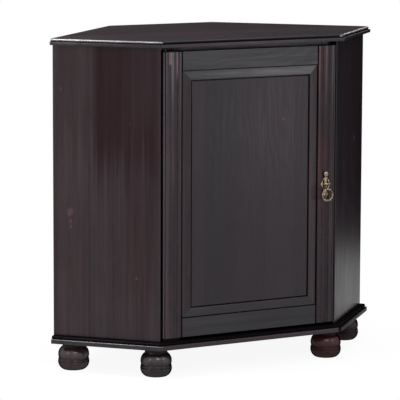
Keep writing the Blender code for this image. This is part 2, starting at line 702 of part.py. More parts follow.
def moulding_profile():
    """Section of the moulding round the panel, as (in from the frame, up from the panel)."""
    rise = MOULDING_INNER - MOULDING_OUTER
    slope_end = MOULDING_WIDTH - MOULDING_NOSE
    slope = []
    for step in range(1, 2 * FLUTE_STEPS):
        share = step / (2 * FLUTE_STEPS)
        swell = share - MOULDING_SWELL_SHARE * math.sin(math.tau * share)
        slope.append((MOULDING_LIP + (slope_end - MOULDING_LIP) * share, MOULDING_OUTER + rise * swell))
    nose = arc((slope_end, MOULDING_INNER - MOULDING_NOSE), (MOULDING_NOSE, MOULDING_NOSE), 90, 0,
               ROUND_STEPS)
    outer = [(0, 0), (0, MOULDING_OUTER), (MOULDING_LIP, MOULDING_OUTER)]
    return outer + slope + nose + [(MOULDING_WIDTH, 0)]


def make_mouldings():
    """Four mitred strips round the panel's field, lying on the panel."""
    half_width = STILE_INNER - MOULDING_CLEAR
    middle = (RAIL_LOW_TOP + RAIL_HIGH_BOTTOM) / 2
    half_height = (RAIL_HIGH_BOTTOM - RAIL_LOW_TOP) / 2 - MOULDING_CLEAR
    face = PANEL_FRONT - FIT
    sides = (("left", (-half_width, middle), (1, 0), half_height),
             ("right", (half_width, middle), (-1, 0), half_height),
             ("bottom", (0, middle - half_height), (0, 1), half_width),
             ("top", (0, middle + half_height), (0, -1), half_width))
    strips = []
    for where, (x, z), (nx, nz), half in sides:
        inward = Vector((nx, 0, nz))
        out = Vector((0, -1, 0))
        turn = Matrix((inward, out, inward.cross(out))).transposed().to_4x4()
        strip = prism(f"moulding_{where}", moulding_profile(), -half, half,
                      Matrix.Translation((x, face, z)) @ turn, "stained_pine")
        for point in strip.data.vertices:
            point.co.z = math.copysign(half - point.co.x - FIT / 2, point.co.z)
        strips.append(strip)
    return strips


def fluted_profile():
    """Half of a fluted strip's face, from its edge to its middle, as (across, up)."""
    edge = arc((FLUTED_EDGE_ROUND, FLUTED_EDGE - FLUTED_EDGE_ROUND), (FLUTED_EDGE_ROUND,) * 2, 180, 90,
               ROUND_STEPS)
    first = (SIDE_FLUTE_WIDTH, FLUTED_THICKNESS)
    second = (SIDE_FLUTE_WIDTH + RIDGE_WIDTH, FLUTED_THICKNESS)
    across = FLUTED_WIDTH - second[0]
    side_dip = hollow(edge[-1], first, SIDE_FLUTE_DEPTH, FLUTE_STEPS)
    middle_dip = hollow(second, (across, FLUTED_THICKNESS), MIDDLE_FLUTE_DEPTH, 2 * FLUTE_STEPS)
    left = [(0, 0)] + edge + side_dip + [first, second]
    return left + middle_dip + [(FLUTED_WIDTH - x, level) for x, level in reversed(left)]


def make_fluted_strips():
    """The fluted strips on the two stiles."""
    strips = []
    for side, sign in SIDES:
        start = STILE_INNER + FLUTED_INSET
        outline = [(sign * (start + x), FRAME_FRONT - FIT - level) for x, level in fluted_profile()]
        strip = prism(f"{side}_fluted_strip", outline, DOOR_LOW, DOOR_HIGH, UPRIGHT, "stained_pine")
        strips.append(strip)
    drill_for_pull(strips[1])
    return strips


def hinge_screw_place():
    return (PIVOT_X + HINGE_SCREW_PLACE, PIVOT_PLANE + HINGE_SCREW_BEHIND)


def leaf_outline():
    """Plan of a hinge leaf with rounded corners, round the axis at its left end."""
    low = (PIVOT_X - LEAF_END, PIVOT_PLANE - LEAF_FRONT)
    high = (PIVOT_X - LEAF_END + LEAF_LENGTH, PIVOT_PLANE + LEAF_BEHIND)
    corners = ((low[0], low[1], 180), (high[0], low[1], 270), (high[0], high[1], 0), (low[0], high[1], 90))
    outline = []
    for x, y, start in corners:
        centre = (x + math.copysign(LEAF_ROUND, low[0] + high[0] - 2 * x),
                  y + math.copysign(LEAF_ROUND, low[1] + high[1] - 2 * y))
        outline += arc(centre, (LEAF_ROUND, LEAF_ROUND), start, start + 90, ROUND_STEPS)
    return outline


def leaf(name, low, hole):
    piece = prism(name, leaf_outline(), low, low + LEAF, UPRIGHT, "bronzed_steel")
    cut(piece, hole)
    return piece


def countersunk(name, tip, head, play, kind):
    """A countersunk screw along Z, from its tip to the flat of its head, or a larger hole for one."""
    neck = head - math.copysign(SCREW_HEAD_DEPTH, head - tip)
    profile = [(0, head), (SCREW_HEAD + play, head), (SCREW_SHANK + play, neck),
               (SCREW_SHANK + play, tip), (0, tip)]
    if head < tip:
        profile.reverse()
    x, y = hinge_screw_place()
    return turned(name, profile, Matrix.Translation((x, y, 0)), kind, SMALL_STEPS)


def make_hinges():
    """A pivot hinge above and below the door: a fixed leaf, a pin, a washer and a door leaf."""
    moving = []
    axis = [((PIVOT_X, PIVOT_PLANE, HEIGHT / 2), (0, 0, 1))]
    pin_hole = rods("hinge_pin_hole", axis, HINGE_PIN_RADIUS + PIN_PLAY, HEIGHT, None)
    for where, door_end, board_face, up in (("upper", DOOR_HIGH, TOP_BOTTOM, 1),
                                            ("lower", DOOR_LOW, BASE_TOP, -1)):
        door_face = door_end + up * FIT
        fixed_face = board_face - up * FIT
        door_leaf_low = min(door_face, door_face + up * LEAF)
        fixed_leaf_low = min(fixed_face, fixed_face - up * LEAF)
        door_leaf = leaf(f"{where}_hinge_door_leaf", door_leaf_low, pin_hole)
        fixed_leaf = leaf(f"{where}_hinge_fixed_leaf", fixed_leaf_low, pin_hole)
        pin_span = (door_face + up * FIT, fixed_face)
        pin = rods(f"{where}_hinge_pin", [((PIVOT_X, PIVOT_PLANE, sum(pin_span) / 2), (0, 0, 1))],
                   HINGE_PIN_RADIUS, abs(pin_span[1] - pin_span[0]), "bright_steel")
        shade_round(pin)
        washer_ends = sorted((door_face + up * (LEAF + FIT), fixed_face - up * (LEAF + FIT)))
        inner = HINGE_PIN_RADIUS + PIN_PLAY
        ring = [(inner, washer_ends[0]), (inner, washer_ends[1]), (WASHER_RADIUS, washer_ends[1]),
                (WASHER_RADIUS, washer_ends[0]), (inner, washer_ends[0])]
        turned(f"{where}_hinge_washer", ring, Matrix.Translation((PIVOT_X, PIVOT_PLANE, 0)),
               "black_nylon", SMALL_STEPS)
        head = door_face + up * LEAF
        screw = countersunk(f"{where}_hinge_leaf_screw", head - up * (SCREW_LENGTH - LEAF), head, 0,
                            "bright_steel")
        sink = countersunk(f"{where}_leaf_countersink", head - up * (LEAF + OVERRUN), head + up * FIT,
                           PIN_PLAY, None)
        moving += [door_leaf, screw]
        cut(door_leaf, sink)
    return moving


def make_catch(post_inner):
    """A magnetic catch on the right stop post and its strike on the door's back."""
    strike_front = DOOR_BACK + FIT
    face = strike_front + STRIKE_THICKNESS + CATCH_AIR
    low = CATCH_HEIGHT - CATCH_LENGTH / 2
    body = box("magnetic_catch", (post_inner - FIT - CATCH_WIDTH, face, low),
               (post_inner - FIT, face + CATCH_DEPTH, low + CATCH_LENGTH), "brown_plastic")
    soften(body, CATCH_ARRIS)
    strike_low = CATCH_HEIGHT - STRIKE_LENGTH / 2
    strike_left = post_inner - FIT - CATCH_WIDTH / 2 - STRIKE_WIDTH / 2
    strike = box("catch_strike", (strike_left, strike_front, strike_low),
                 (strike_left + STRIKE_WIDTH, strike_front + STRIKE_THICKNESS, strike_low + STRIKE_LENGTH),
                 "bright_steel")
    soften(strike, STRIKE_ARRIS)
    return [strike]


def pull_plate_outlines():
    """Outline and four openings of the pull's pierced plate, as (across, up from the post)."""
    centre = (0, OVAL_CENTRE)
    knob = math.degrees(math.asin(KNOB_RADIUS / OVAL_HALF_HEIGHT))
    neck = math.degrees(math.acos(NECK_HALF_WIDTH / OVAL_HALF_WIDTH))
    tail = math.degrees(math.acos(TAIL_NECK / 2 / OVAL_HALF_WIDTH))
    radii = (OVAL_HALF_WIDTH, OVAL_HALF_HEIGHT)
    right = [(NECK_HALF_WIDTH, NECK_TOP)]
    right += arc(centre, radii, neck, knob, SMALL_STEPS // 2)
    right += arc((OVAL_HALF_WIDTH, OVAL_CENTRE), (KNOB_RADIUS, KNOB_RADIUS), 60, -60, ROUND_STEPS)
    right += arc(centre, radii, -knob, -tail, SMALL_STEPS // 2)
    right += [(half_width, -TAIL_LENGTH * share) for share, half_width in TAIL_SHAPE]
    outline = right + [(0, -TAIL_LENGTH)] + [(-x, z) for x, z in reversed(right)]
    outlines = [outline]
    inner = (OVAL_HALF_WIDTH - OVAL_BAND, OVAL_HALF_HEIGHT - OVAL_BAND)
    low = math.degrees(math.asin(ARM_HALF_HEIGHT / inner[1]))
    high = math.degrees(math.acos(STEM_HALF_WIDTH / inner[0]))
    quarter = arc((0, 0), inner, low, high, ROUND_STEPS) + [(STEM_HALF_WIDTH, ARM_HALF_HEIGHT)]
    for sign_x in (1, -1):
        for sign_z in (1, -1):
            outlines.append([(sign_x * x, OVAL_CENTRE + sign_z * z) for x, z in quarter])
    return outlines


def dome(name, height, radius, half_depth):
    """A flattened ball on the pull's plate, resting on its back plane."""
    mesh = bpy.data.meshes.new(name)
    edit = bmesh.new()
    bmesh.ops.create_uvsphere(edit, u_segments=HEAD_STEPS, v_segments=HEAD_STEPS // 2, radius=radius)
    bmesh.ops.scale(edit, vec=(1, half_depth / radius, 1), verts=edit.verts)
    edit.to_mesh(mesh)
    edit.free()
    y = RIDGE_PLANE - 2 * FIT - half_depth
    return place(name, mesh, Matrix.Translation((PULL_X, y, PULL_HEIGHT + height)), None)


def make_pull():
    """Pierced plate, post, ring and the screw that holds them to the stile."""
    back = RIDGE_PLANE - FIT
    frame = Matrix.Translation((PULL_X, 0, PULL_HEIGHT)) @ FROM_FRONT
    plate = prism("pull_plate", pull_plate_outlines(), back - PLATE, back, frame, "aged_brass")
    cut(plate, dome("finial", FINIAL_HEIGHT, FINIAL_RADIUS, FINIAL_HALF_DEPTH), "UNION")
    cut(plate, dome("boss", OVAL_CENTRE, BOSS_RADIUS, BOSS_HALF_DEPTH), "UNION")
    hole = rods("pull_plate_hole", [((PULL_X, back, PULL_HEIGHT), (0, 1, 0))], PULL_HOLE_RADIUS,
                OVERRUN, None)
    cut(plate, hole)

    post_back = back - PLATE - FIT
    reach = post_back - EYE_Y
    facing = Matrix.Translation(RING_PIVOT) @ Matrix.Rotation(math.radians(90), 4, "X")
    bore = PULL_SCREW_RADIUS + PULL_THREAD_PLAY
    bore_floor = -reach + PULL_SCREW_IN_POST + PULL_THREAD_PLAY
    head_start = math.degrees(math.asin(POST_STEM_RADIUS / POST_HEAD_RADIUS))
    head = arc((0, 0), (POST_HEAD_RADIUS, POST_HEAD_RADIUS), 90, head_start - 90, HEAD_STEPS // 2)
    profile = head + [(POST_STEM_RADIUS, -reach + POST_FOOT), (POST_FOOT_RADIUS, -reach + POST_FOOT),
                      (POST_FOOT_RADIUS, -reach), (bore, -reach), (bore, bore_floor), (0, bore_floor)]
    profile[0] = (0, POST_HEAD_RADIUS)
    post = turned("pull_post", profile, facing, "aged_brass", HEAD_STEPS)
    eye = rods("pull_eye", [(RING_PIVOT, (1, 0, 0))], EYE_RADIUS, 2 * OVERRUN, None)
    cut(post, eye)

    screw_tip = -reach + PULL_SCREW_IN_POST
    head_end = EYE_Y - DOOR_BACK + FIT
    shank = [(0, screw_tip), (PULL_SCREW_RADIUS, screw_tip),
             (PULL_SCREW_RADIUS, head_end + PULL_SCREW_HEAD_DEPTH),
             (PULL_SCREW_HEAD, head_end + PULL_SCREW_HEAD_DEPTH), (PULL_SCREW_HEAD, head_end),
             (0, head_end)]
    screw = turned("pull_screw", shank, facing, "bright_steel", SMALL_STEPS)
    return [plate, post, screw], make_ring()


def make_ring():
    """The ring, hanging through the post's eye, with three beads at its lowest point."""
    mesh = bpy.data.meshes.new("pull_ring")
    edit = bmesh.new()
    around = []
    for step in range(RING_STEPS):
        angle = math.tau * step / RING_STEPS
        centre = Vector((math.sin(angle), 0, math.cos(angle)))
        loop = []
        for turn in range(WIRE_STEPS):
            share = math.tau * turn / WIRE_STEPS
            radius = RING_RADIUS + RING_WIRE * math.cos(share)
            loop.append(edit.verts.new(centre * radius + Vector((0, RING_WIRE * math.sin(share), 0))))
        around.append(loop)
    for step in range(RING_STEPS):
        here = around[step]
        there = around[(step + 1) % RING_STEPS]
        for turn in range(WIRE_STEPS):
            following = (turn + 1) % WIRE_STEPS
            edit.faces.new((here[turn], here[following], there[following], there[turn]))
    bmesh.ops.translate(edit, vec=(0, 0, -RING_RADIUS), verts=edit.verts)
    bmesh.ops.recalc_face_normals(edit, faces=edit.faces)
    edit.to_mesh(mesh)
    edit.free()
    ring = place("pull_ring", mesh, Matrix.Translation(RING_PIVOT), "aged_brass")
    for number in (-1, 0, 1):
        angle = math.tau * (0.5 + number * RING_BEAD_SPREAD_SHARE)
        middle = RING_PIVOT + Vector((math.sin(angle), 0, math.cos(angle) - 1)) * RING_RADIUS
        cut(ring, bead(f"ring_bead_{number + 2}", middle), "UNION")
    shade_round(ring)
    return ring


def bead(name, centre):
    mesh = bpy.data.meshes.new(name)
    edit = bmesh.new()
    bmesh.ops.create_uvsphere(edit, u_segments=SMALL_STEPS, v_segments=SMALL_STEPS // 2,
                              radius=RING_BEAD_RADIUS)
    edit.to_mesh(mesh)
    edit.free()
    return place(name, mesh, Matrix.Translation(centre), None)


def pivot(name, point, parent=None):
    """An empty on a joint's axis."""
    empty = bpy.data.objects.new(name, None)
    PARTS.objects.link(empty)
    empty.empty_display_size = OVERHANG
    empty.matrix_world = TO_ORIGIN @ Matrix.Translation(point)
    if parent is not None:
        hang(empty, parent)
    return empty


def hang(piece, parent):
    """Parents a piece without moving it."""
    bpy.context.view_layer.update()
    place_now = piece.matrix_world.copy()
    piece.parent = parent
    piece.matrix_parent_inverse = parent.matrix_world.inverted()
    piece.matrix_world = place_now


def main():
    make_boards()
    make_side_panels()
    make_wall_panels()
    make_corner_back()
    post_inner = make_stops()
    make_shelf()
    make_feet()
    door = make_stiles() + make_rails() + [make_door_panel()] + make_mouldings()
    door += make_fluted_strips() + make_hinges() + make_catch(post_inner)
    pull, ring = make_pull()
    door_axis = pivot("door_axis", DOOR_PIVOT)
    for piece in door + pull:
        hang(piece, door_axis)
    ring_axis = pivot("ring_axis", RING_PIVOT, door_axis)
    hang(ring, ring_axis)


main()
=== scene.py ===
"""Looks of the corner cupboard: turned, moulded and fluted pieces, stained pine, a studio."""
import json
import math

import bmesh
import bpy
from mathutils import Euler, Matrix, Vector


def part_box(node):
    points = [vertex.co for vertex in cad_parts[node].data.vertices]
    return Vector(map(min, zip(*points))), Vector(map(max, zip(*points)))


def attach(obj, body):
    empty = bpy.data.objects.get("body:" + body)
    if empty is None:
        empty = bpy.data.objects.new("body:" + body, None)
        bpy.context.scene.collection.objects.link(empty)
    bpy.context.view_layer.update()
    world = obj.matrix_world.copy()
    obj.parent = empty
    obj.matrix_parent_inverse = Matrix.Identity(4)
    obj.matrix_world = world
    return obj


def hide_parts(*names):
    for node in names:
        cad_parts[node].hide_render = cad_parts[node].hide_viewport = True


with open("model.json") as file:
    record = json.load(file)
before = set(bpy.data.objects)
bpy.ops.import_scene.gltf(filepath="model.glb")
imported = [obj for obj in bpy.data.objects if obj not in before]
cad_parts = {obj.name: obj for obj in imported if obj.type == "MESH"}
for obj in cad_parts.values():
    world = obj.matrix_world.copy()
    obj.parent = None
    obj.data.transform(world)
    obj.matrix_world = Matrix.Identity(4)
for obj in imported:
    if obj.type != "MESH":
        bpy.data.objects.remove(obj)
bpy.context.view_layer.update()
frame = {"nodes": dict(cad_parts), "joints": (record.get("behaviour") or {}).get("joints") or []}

NODES = frame["nodes"]
SLANT = math.sqrt(0.5)
LEFT, RIGHT = -1, 1
X_AXIS, Y_AXIS, Z_AXIS = (1, 0, 0), (0, 1, 0), (0, 0, 1)

# Camera, from the photograph's perspective
EYE = Vector((-2.8202, -5.3617, 1.3389))
CAMERA_YAW = math.radians(27.5936)
CAMERA_PITCH = math.radians(7.3066)
CAMERA_ROLL = math.radians(0.2040)
SENSOR = 36.0
LENS = 209.02
SHIFT_Y = -0.15
CLIP_NEAR, CLIP_FAR = 0.1, 200.0

# Plan of the carcass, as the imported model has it
FRONT_WIDTH = 0.512
RETURN_LENGTH = 0.284
CORNER_CUT = 0.220
OVERHANG = 0.020
FIT = 0.0003
FRONT_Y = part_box("left_side_panel")[0].y
WALL_LENGTH = FRONT_WIDTH * SLANT + RETURN_LENGTH - CORNER_CUT
BACK_Y = (RETURN_LENGTH + WALL_LENGTH) * SLANT
SLANT_LEVEL = FRONT_WIDTH / 2 * SLANT
WALL_LEVEL = SLANT_LEVEL + RETURN_LENGTH


def add_object(name, data):
    made = bpy.data.objects.new(name, data)
    bpy.context.scene.collection.objects.link(made)
    return made


# Camera

def make_camera():
    data = bpy.data.cameras.new("camera")
    data.sensor_width = SENSOR
    data.lens = LENS
    data.shift_y = SHIFT_Y
    data.clip_start, data.clip_end = CLIP_NEAR, CLIP_FAR
    camera = add_object("camera", data)
    flat = math.cos(CAMERA_PITCH)
    forward = Vector((math.sin(CAMERA_YAW) * flat, math.cos(CAMERA_YAW) * flat,
                      -math.sin(CAMERA_PITCH)))
    level = Vector((math.cos(CAMERA_YAW), -math.sin(CAMERA_YAW), 0))
    upright = level.cross(forward)
    right = level * math.cos(CAMERA_ROLL) + upright * math.sin(CAMERA_ROLL)
    up = upright * math.cos(CAMERA_ROLL) - level * math.sin(CAMERA_ROLL)
    turn = Matrix((right, up, -forward)).transposed().to_4x4()
    camera.matrix_world = Matrix.Translation(EYE) @ turn
    bpy.context.scene.camera = camera


make_camera()


# Materials

class Shader:
    """Builds the nodes of one material."""

    def __init__(self, name):
        self.material = bpy.data.materials.new(name)
        self.material.use_nodes = True
        self.tree = self.material.node_tree
        self.bsdf = self.tree.nodes["Principled BSDF"]
        self.place = self.node("ShaderNodeTexCoord").outputs["Object"]

    def node(self, kind, **settings):
        made = self.tree.nodes.new(kind)
        for key, value in settings.items():
            setattr(made, key, value)
        return made

    def feed(self, socket, value):
        if isinstance(value, bpy.types.NodeSocket):
            self.tree.links.new(value, socket)
        else:
            socket.default_value = value

    def math(self, operation, *values, clamp=False):
        made = self.node("ShaderNodeMath", operation=operation, use_clamp=clamp)
        for socket, value in zip(made.inputs, values):
            self.feed(socket, value)
        return made.outputs[0]

    def dot(self, direction):
        made = self.node("ShaderNodeVectorMath", operation="DOT_PRODUCT")
        self.feed(made.inputs[0], self.place)
        self.feed(made.inputs[1], tuple(direction))
        return made.outputs["Value"]

    def combine(self, x, y, z):
        made = self.node("ShaderNodeCombineXYZ")
        for socket, value in zip(made.inputs, (x, y, z)):
            self.feed(socket, value)
        return made.outputs[0]

    def noise(self, vector, scale, detail=3.0, roughness=0.5, distortion=0.0):
        made = self.node("ShaderNodeTexNoise")
        self.feed(made.inputs["Vector"], vector)
        made.inputs["Scale"].default_value = scale
        made.inputs["Detail"].default_value = detail
        made.inputs["Roughness"].default_value = roughness
        made.inputs["Distortion"].default_value = distortion
        return made.outputs["Fac"]

    def span(self, value, low, high, to_low=0.0, to_high=1.0, smooth=False):
        made = self.node("ShaderNodeMapRange")
        made.interpolation_type = "SMOOTHSTEP" if smooth else "LINEAR"
        for socket, number in zip(made.inputs, (value, low, high, to_low, to_high)):
            self.feed(socket, number)
        return made.outputs[0]

    def mix(self, share, first, second):
        made = self.node("ShaderNodeMix", data_type="RGBA")
        self.feed(made.inputs[0], share)
        for socket, colour in zip((made.inputs[6], made.inputs[7]), (first, second)):
            self.feed(socket, (*colour, 1.0) if isinstance(colour, tuple) else colour)
        return made.outputs[2]

    def bump(self, height, distance, strength=1.0, under=None):
        made = self.node("ShaderNodeBump")
        made.inputs["Strength"].default_value = strength
        made.inputs["Distance"].default_value = distance
        self.feed(made.inputs["Height"], height)
        if under is not None:
            self.feed(made.inputs["Normal"], under)
        return made.outputs[0]

    def finish(self, colour=None, roughness=None, normal=None, **fixed):
        for name, value in (("Base Color", colour), ("Roughness", roughness), ("Normal", normal)):
            if value is not None:
                self.feed(self.bsdf.inputs[name], value)
        for name, value in fixed.items():
            self.bsdf.inputs[name.capitalize()].default_value = value
        return self.material


# Stains and marks, as linear colours
STAIN = (0.0128, 0.0056, 0.0090)
STAIN_DEEP = (0.0050, 0.0022, 0.0040)
STAIN_RED = (0.0300, 0.0075, 0.0095)
PATCH_RED = (0.0135, 0.0030, 0.0048)
COOL = (0.0100, 0.0082, 0.0125)
COOL_DEEP = (0.0050, 0.0042, 0.0066)
WORN = (0.3000, 0.1500, 0.1850)
PAINTED_SHADE = (0.0024, 0.0019, 0.0026)   # painted shade: near-black colour given where the shine is cut
KNOT_RED = (0.0540, 0.0210, 0.0260)
SHINE = 0.34                       # specular level of the stained wood

RING_PITCH = 62.0                  # year rings to the metre
SEED_SHIFT, SEED_RUN = 0.731, 1.37 # how far a seed moves the grain, across and along
BOARD_RUN = 3.7                    # the most that a glued board's grain is moved along
JOINT_HALF = 0.0006                # half the width of a glued joint
PORE_RELIEF, GRAIN_RELIEF = 0.00006, 0.00022


def knot_marks(s, knot, number, place):
    """How far a knot bends the grain aside, and the share of the knot's own colour."""
    side, depth, along = place
    knot_side, knot_along, size = knot
    from_side = s.math("SUBTRACT", side, knot_side)
    from_along = s.math("SUBTRACT", along, knot_along)
    u = s.math("DIVIDE", from_side, size)
    w = s.math("DIVIDE", from_along, size)
    wide = s.math("POWER", s.math("DIVIDE", u, 2.4), 2.0)
    long = s.math("POWER", s.math("DIVIDE", w, 4.5), 2.0)
    near = s.math("EXPONENT", s.math("MULTIPLY", s.math("ADD", wide, long), -1.0))
    bend = s.math("MULTIPLY", from_side, s.math("MULTIPLY", near, 0.75))
    round_w = s.math("DIVIDE", w, 1.3)
    radius = s.math("SQRT", s.math("ADD", s.math("MULTIPLY", u, u),
                                   s.math("MULTIPLY", round_w, round_w)))
    wobble = s.noise(s.combine(side, depth, along), 90.0 + 7 * number, 2.0)
    radius = s.math("ADD", radius, s.math("MULTIPLY", wobble, 0.5))
    return bend, s.span(radius, 1.35, 0.75, smooth=True)


def board_marks(s, side, board, seed):
    """One tone for each glued board, and the thin joint between two of them."""
    place = s.math("DIVIDE", s.math("ADD", side, seed * SEED_SHIFT), board)
    cell = s.math("FLOOR", place)
    tone = s.node("ShaderNodeTexWhiteNoise", noise_dimensions="1D")
    s.feed(tone.inputs["W"], s.math("ADD", cell, seed))
    even = s.math("ABSOLUTE", s.math("SUBTRACT", s.math("SUBTRACT", place, cell), 0.5))
    return tone.outputs["Value"], s.span(even, 0.5 - JOINT_HALF / board, 0.5, smooth=True)


def patch_share(s, patch, side, along, band):
    """Share of a darker, redder patch, which frays out along the grain."""
    patch_side, patch_along, half_width, half_length, strength = patch
    u = s.math("DIVIDE", s.math("SUBTRACT", side, patch_side), half_width)
    w = s.math("DIVIDE", s.math("SUBTRACT", along, patch_along), half_length)
    wide = s.span(s.math("ABSOLUTE", u), 0.84, 1.06, 1.0, 0.0, smooth=True)
    long = s.math("ADD", s.math("ABSOLUTE", w), s.span(band, 0.3, 0.7, -0.30, 0.30))
    return s.math("MULTIPLY", wide, s.span(long, 1.25, 0.55, 0.0, strength, smooth=True))


def blend(first, second, share):
    return tuple(a + (b - a) * share for a, b in zip(first, second))


def wood(name, grain, across, seed, board=0.0, knots=(), red=0.35, wear=None, gloss=0.0,
         painted_light=None, cool=0.0, shine=SHINE, patches=(), calm=0.0, deeper=0.0, base=STAIN):
    """Dark stained pine.

    Grain and across are directions, and board is the width of the glued boards. Knots are
    (across, along, size) places, and patches are (across, along, half width, half length,
    strength) places of darker, redder colour with less shine. Red, cool and deeper take the
    stain towards red, towards grey and to its darkest tone, and calm evens out the streaks.
    Wear gives the share of bare wood at each place. The painted-light function gives a factor
    on the shine at each place, which paints shade and highlights; where it cuts the shine, the
    colour goes towards a near-black painted shade.
    """
    s = Shader(name)
    grain, across = Vector(grain), Vector(across)
    along = s.dot(grain)
    side = s.dot(across)
    depth = s.dot(grain.cross(across))

    lumps = []
    bent = side
    for number, knot in enumerate(knots):
        bend, lump = knot_marks(s, knot, number, (side, depth, along))
        bent = s.math("SUBTRACT", bent, bend)
        lumps.append(lump)

    drift = 0.0
    if board:
        tone, joint = board_marks(s, side, board, seed)
        drift = s.math("MULTIPLY", tone, BOARD_RUN)
    run = s.math("ADD", s.math("ADD", along, seed * SEED_RUN), drift)
    bent = s.math("ADD", bent, seed * SEED_SHIFT)

    def stretched(fine, slow, detail, roughness):
        """Noise at so many marks to the metre across the grain and along it."""
        return s.noise(s.combine(s.math("MULTIPLY", bent, fine), s.math("MULTIPLY", depth, fine),
                                 s.math("MULTIPLY", run, slow)), 1.0, detail, roughness)

    warp = stretched(9.0, 2.2, 3.0, 0.5)
    figure = s.math("ADD", s.math("MULTIPLY", bent, RING_PITCH), s.math("MULTIPLY", warp, 11.0))
    rings = s.math("MULTIPLY_ADD", s.math("SINE", s.math("MULTIPLY", figure, math.tau)), 0.5, 0.5)
    rings = s.math("POWER", rings, 2.2)
    streak = stretched(260.0, 3.5, 4.0, 0.6)
    band = stretched(95.0, 1.3, 3.0, 0.6)
    pores = stretched(1500.0, 42.0, 2.0, 0.55)
    cloud = stretched(14.0, 4.0, 3.0, 0.55)
    haze = stretched(17.0, 3.0, 4.0, 0.62)

    dark = s.math("ADD", s.math("MULTIPLY", rings, 0.40), s.math("MULTIPLY", streak, 0.70))
    dark = s.math("ADD", dark, s.math("MULTIPLY", band, 0.90))
    colour = s.mix(s.math("SUBTRACT", dark, 0.60 - deeper, clamp=True),
                   blend(base, COOL, cool), blend(STAIN_DEEP, COOL_DEEP, cool))
    red_share = s.math("MULTIPLY", s.span(cloud, 0.40, 0.66, smooth=True),
                       s.span(band, 0.38, 0.62))
    colour = s.mix(s.math("MULTIPLY", red_share, red), colour, STAIN_RED)
    if board:
        lighter = s.mix(s.span(tone, 0.0, 1.0, 0.0, 0.30), colour, STAIN_RED)
        colour = s.mix(joint, lighter, STAIN_DEEP)
    for lump in lumps:
        colour = s.mix(s.math("MULTIPLY", lump, 0.85), colour, KNOT_RED)

    cloudy, streaky = 0.16 * (1.0 - calm), 0.20 * (1.0 - calm)
    level = s.span(haze, 0.32, 0.68, 1.0 - cloudy, 1.0 + cloudy)
    level = s.math("MULTIPLY", level, s.span(band, 0.30, 0.70, 1.0 - streaky, 1.0 + streaky))
    if board:
        level = s.math("MULTIPLY", level, s.span(tone, 0.0, 1.0, 0.88, 1.10))
    for patch in patches:
        share = patch_share(s, patch, side, along, band)
        colour = s.mix(s.math("MULTIPLY", share, 0.6), colour, PATCH_RED)
        kept = s.math("SUBTRACT", 1.0, s.math("MULTIPLY", share, 0.45))
        level = s.math("MULTIPLY", level, kept)
    if wear is not None:
        colour = s.mix(wear(s), colour, WORN)
    # painted light: a factor on the shine by place paints shade and highlights, and where it cuts
    # the shine the colour goes towards near-black painted shade
    if painted_light is not None:
        kept = painted_light(s)
        level = s.math("MULTIPLY", level, kept)
        colour = s.mix(s.span(kept, 0.1, 0.9, 0.9, 0.0), colour, PAINTED_SHADE)
    s.bsdf.inputs["Specular IOR Level"].default_value = shine
    s.feed(s.bsdf.inputs["Specular IOR Level"], s.math("MULTIPLY", level, shine))

    sheen = s.math("ADD", s.math("MULTIPLY", streak, 0.24), s.math("MULTIPLY", rings, 0.05))
    sheen = s.math("ADD", sheen, s.math("MULTIPLY", cloud, 0.10))
    roughness = s.math("ADD", sheen, 0.13 - gloss)
    relief = s.math("ADD", s.math("MULTIPLY", streak, 0.7), s.math("MULTIPLY", rings, 0.3))
    normal = s.bump(relief, GRAIN_RELIEF, 0.55)
    normal = s.bump(pores, PORE_RELIEF, 0.5, normal)
    return s.finish(colour, roughness, normal)


# Aged brass: rubbed, tarnished and pitted, and the pinkish ball on top of the plate
BRASS, BRASS_DARK, BRASS_PIT = (0.36, 0.29, 0.195), (0.055, 0.041, 0.019), (0.030, 0.022, 0.010)
BRASS_BALL = (0.250, 0.190, 0.185)
RING_BRASS = (0.36, 0.305, 0.265)


def brass(name, seed, light=BRASS, dirt=0.95):
    s = Shader(name)
    drift = s.node("ShaderNodeVectorMath", operation="ADD")
    s.feed(drift.inputs[0], s.place)
    drift.inputs[1].default_value = (seed, 0, 0)
    cloud = s.noise(drift.outputs[0], 210.0, 4.0, 0.6)
    speck = s.noise(drift.outputs[0], 900.0, 2.0, 0.5)
    patina = s.span(cloud, 0.40, 0.58, 0.0, dirt, smooth=True)
    colour = s.mix(patina, light, BRASS_DARK)
    colour = s.mix(s.span(speck, 0.56, 0.68, 0.0, 0.6), colour, BRASS_PIT)
    above = s.math("SUBTRACT", s.dot(Z_AXIS), RING_AT.z)
    colour = s.mix(s.span(above, 0.0310, 0.0330, 0.0, 0.7), colour, BRASS_BALL)
    roughness = s.math("ADD", s.math("MULTIPLY", cloud, 0.30), 0.18)
    normal = s.bump(s.math("ADD", cloud, s.math("MULTIPLY", speck, 0.4)), 0.00010, 0.6)
    return s.finish(colour, roughness, normal, metallic=1.0)


def plain_metal(name, light, dark, scale, rough):
    s = Shader(name)
    cloud = s.noise(s.place, scale, 4.0, 0.6)
    fine = s.noise(s.place, scale * 7, 2.0, 0.5)
    colour = s.mix(s.span(cloud, 0.38, 0.64, smooth=True), light, dark)
    roughness = s.math("ADD", s.math("MULTIPLY", cloud, 0.25), rough)
    return s.finish(colour, roughness, s.bump(fine, 0.00004, 0.5), metallic=1.0)


def moulded_plastic(name, light, dark, rough, gleam):
    """Gleam is the plastic's specular level."""
    s = Shader(name)
    cloud = s.noise(s.place, 60.0, 3.0, 0.5)
    grit = s.noise(s.place, 1900.0, 2.0, 0.5)
    colour = s.mix(cloud, light, dark)
    roughness = s.math("ADD", s.math("MULTIPLY", grit, 0.2), rough)
    s.bsdf.inputs["Specular IOR Level"].default_value = gleam
    return s.finish(colour, roughness, s.bump(grit, 0.00005, 0.6))


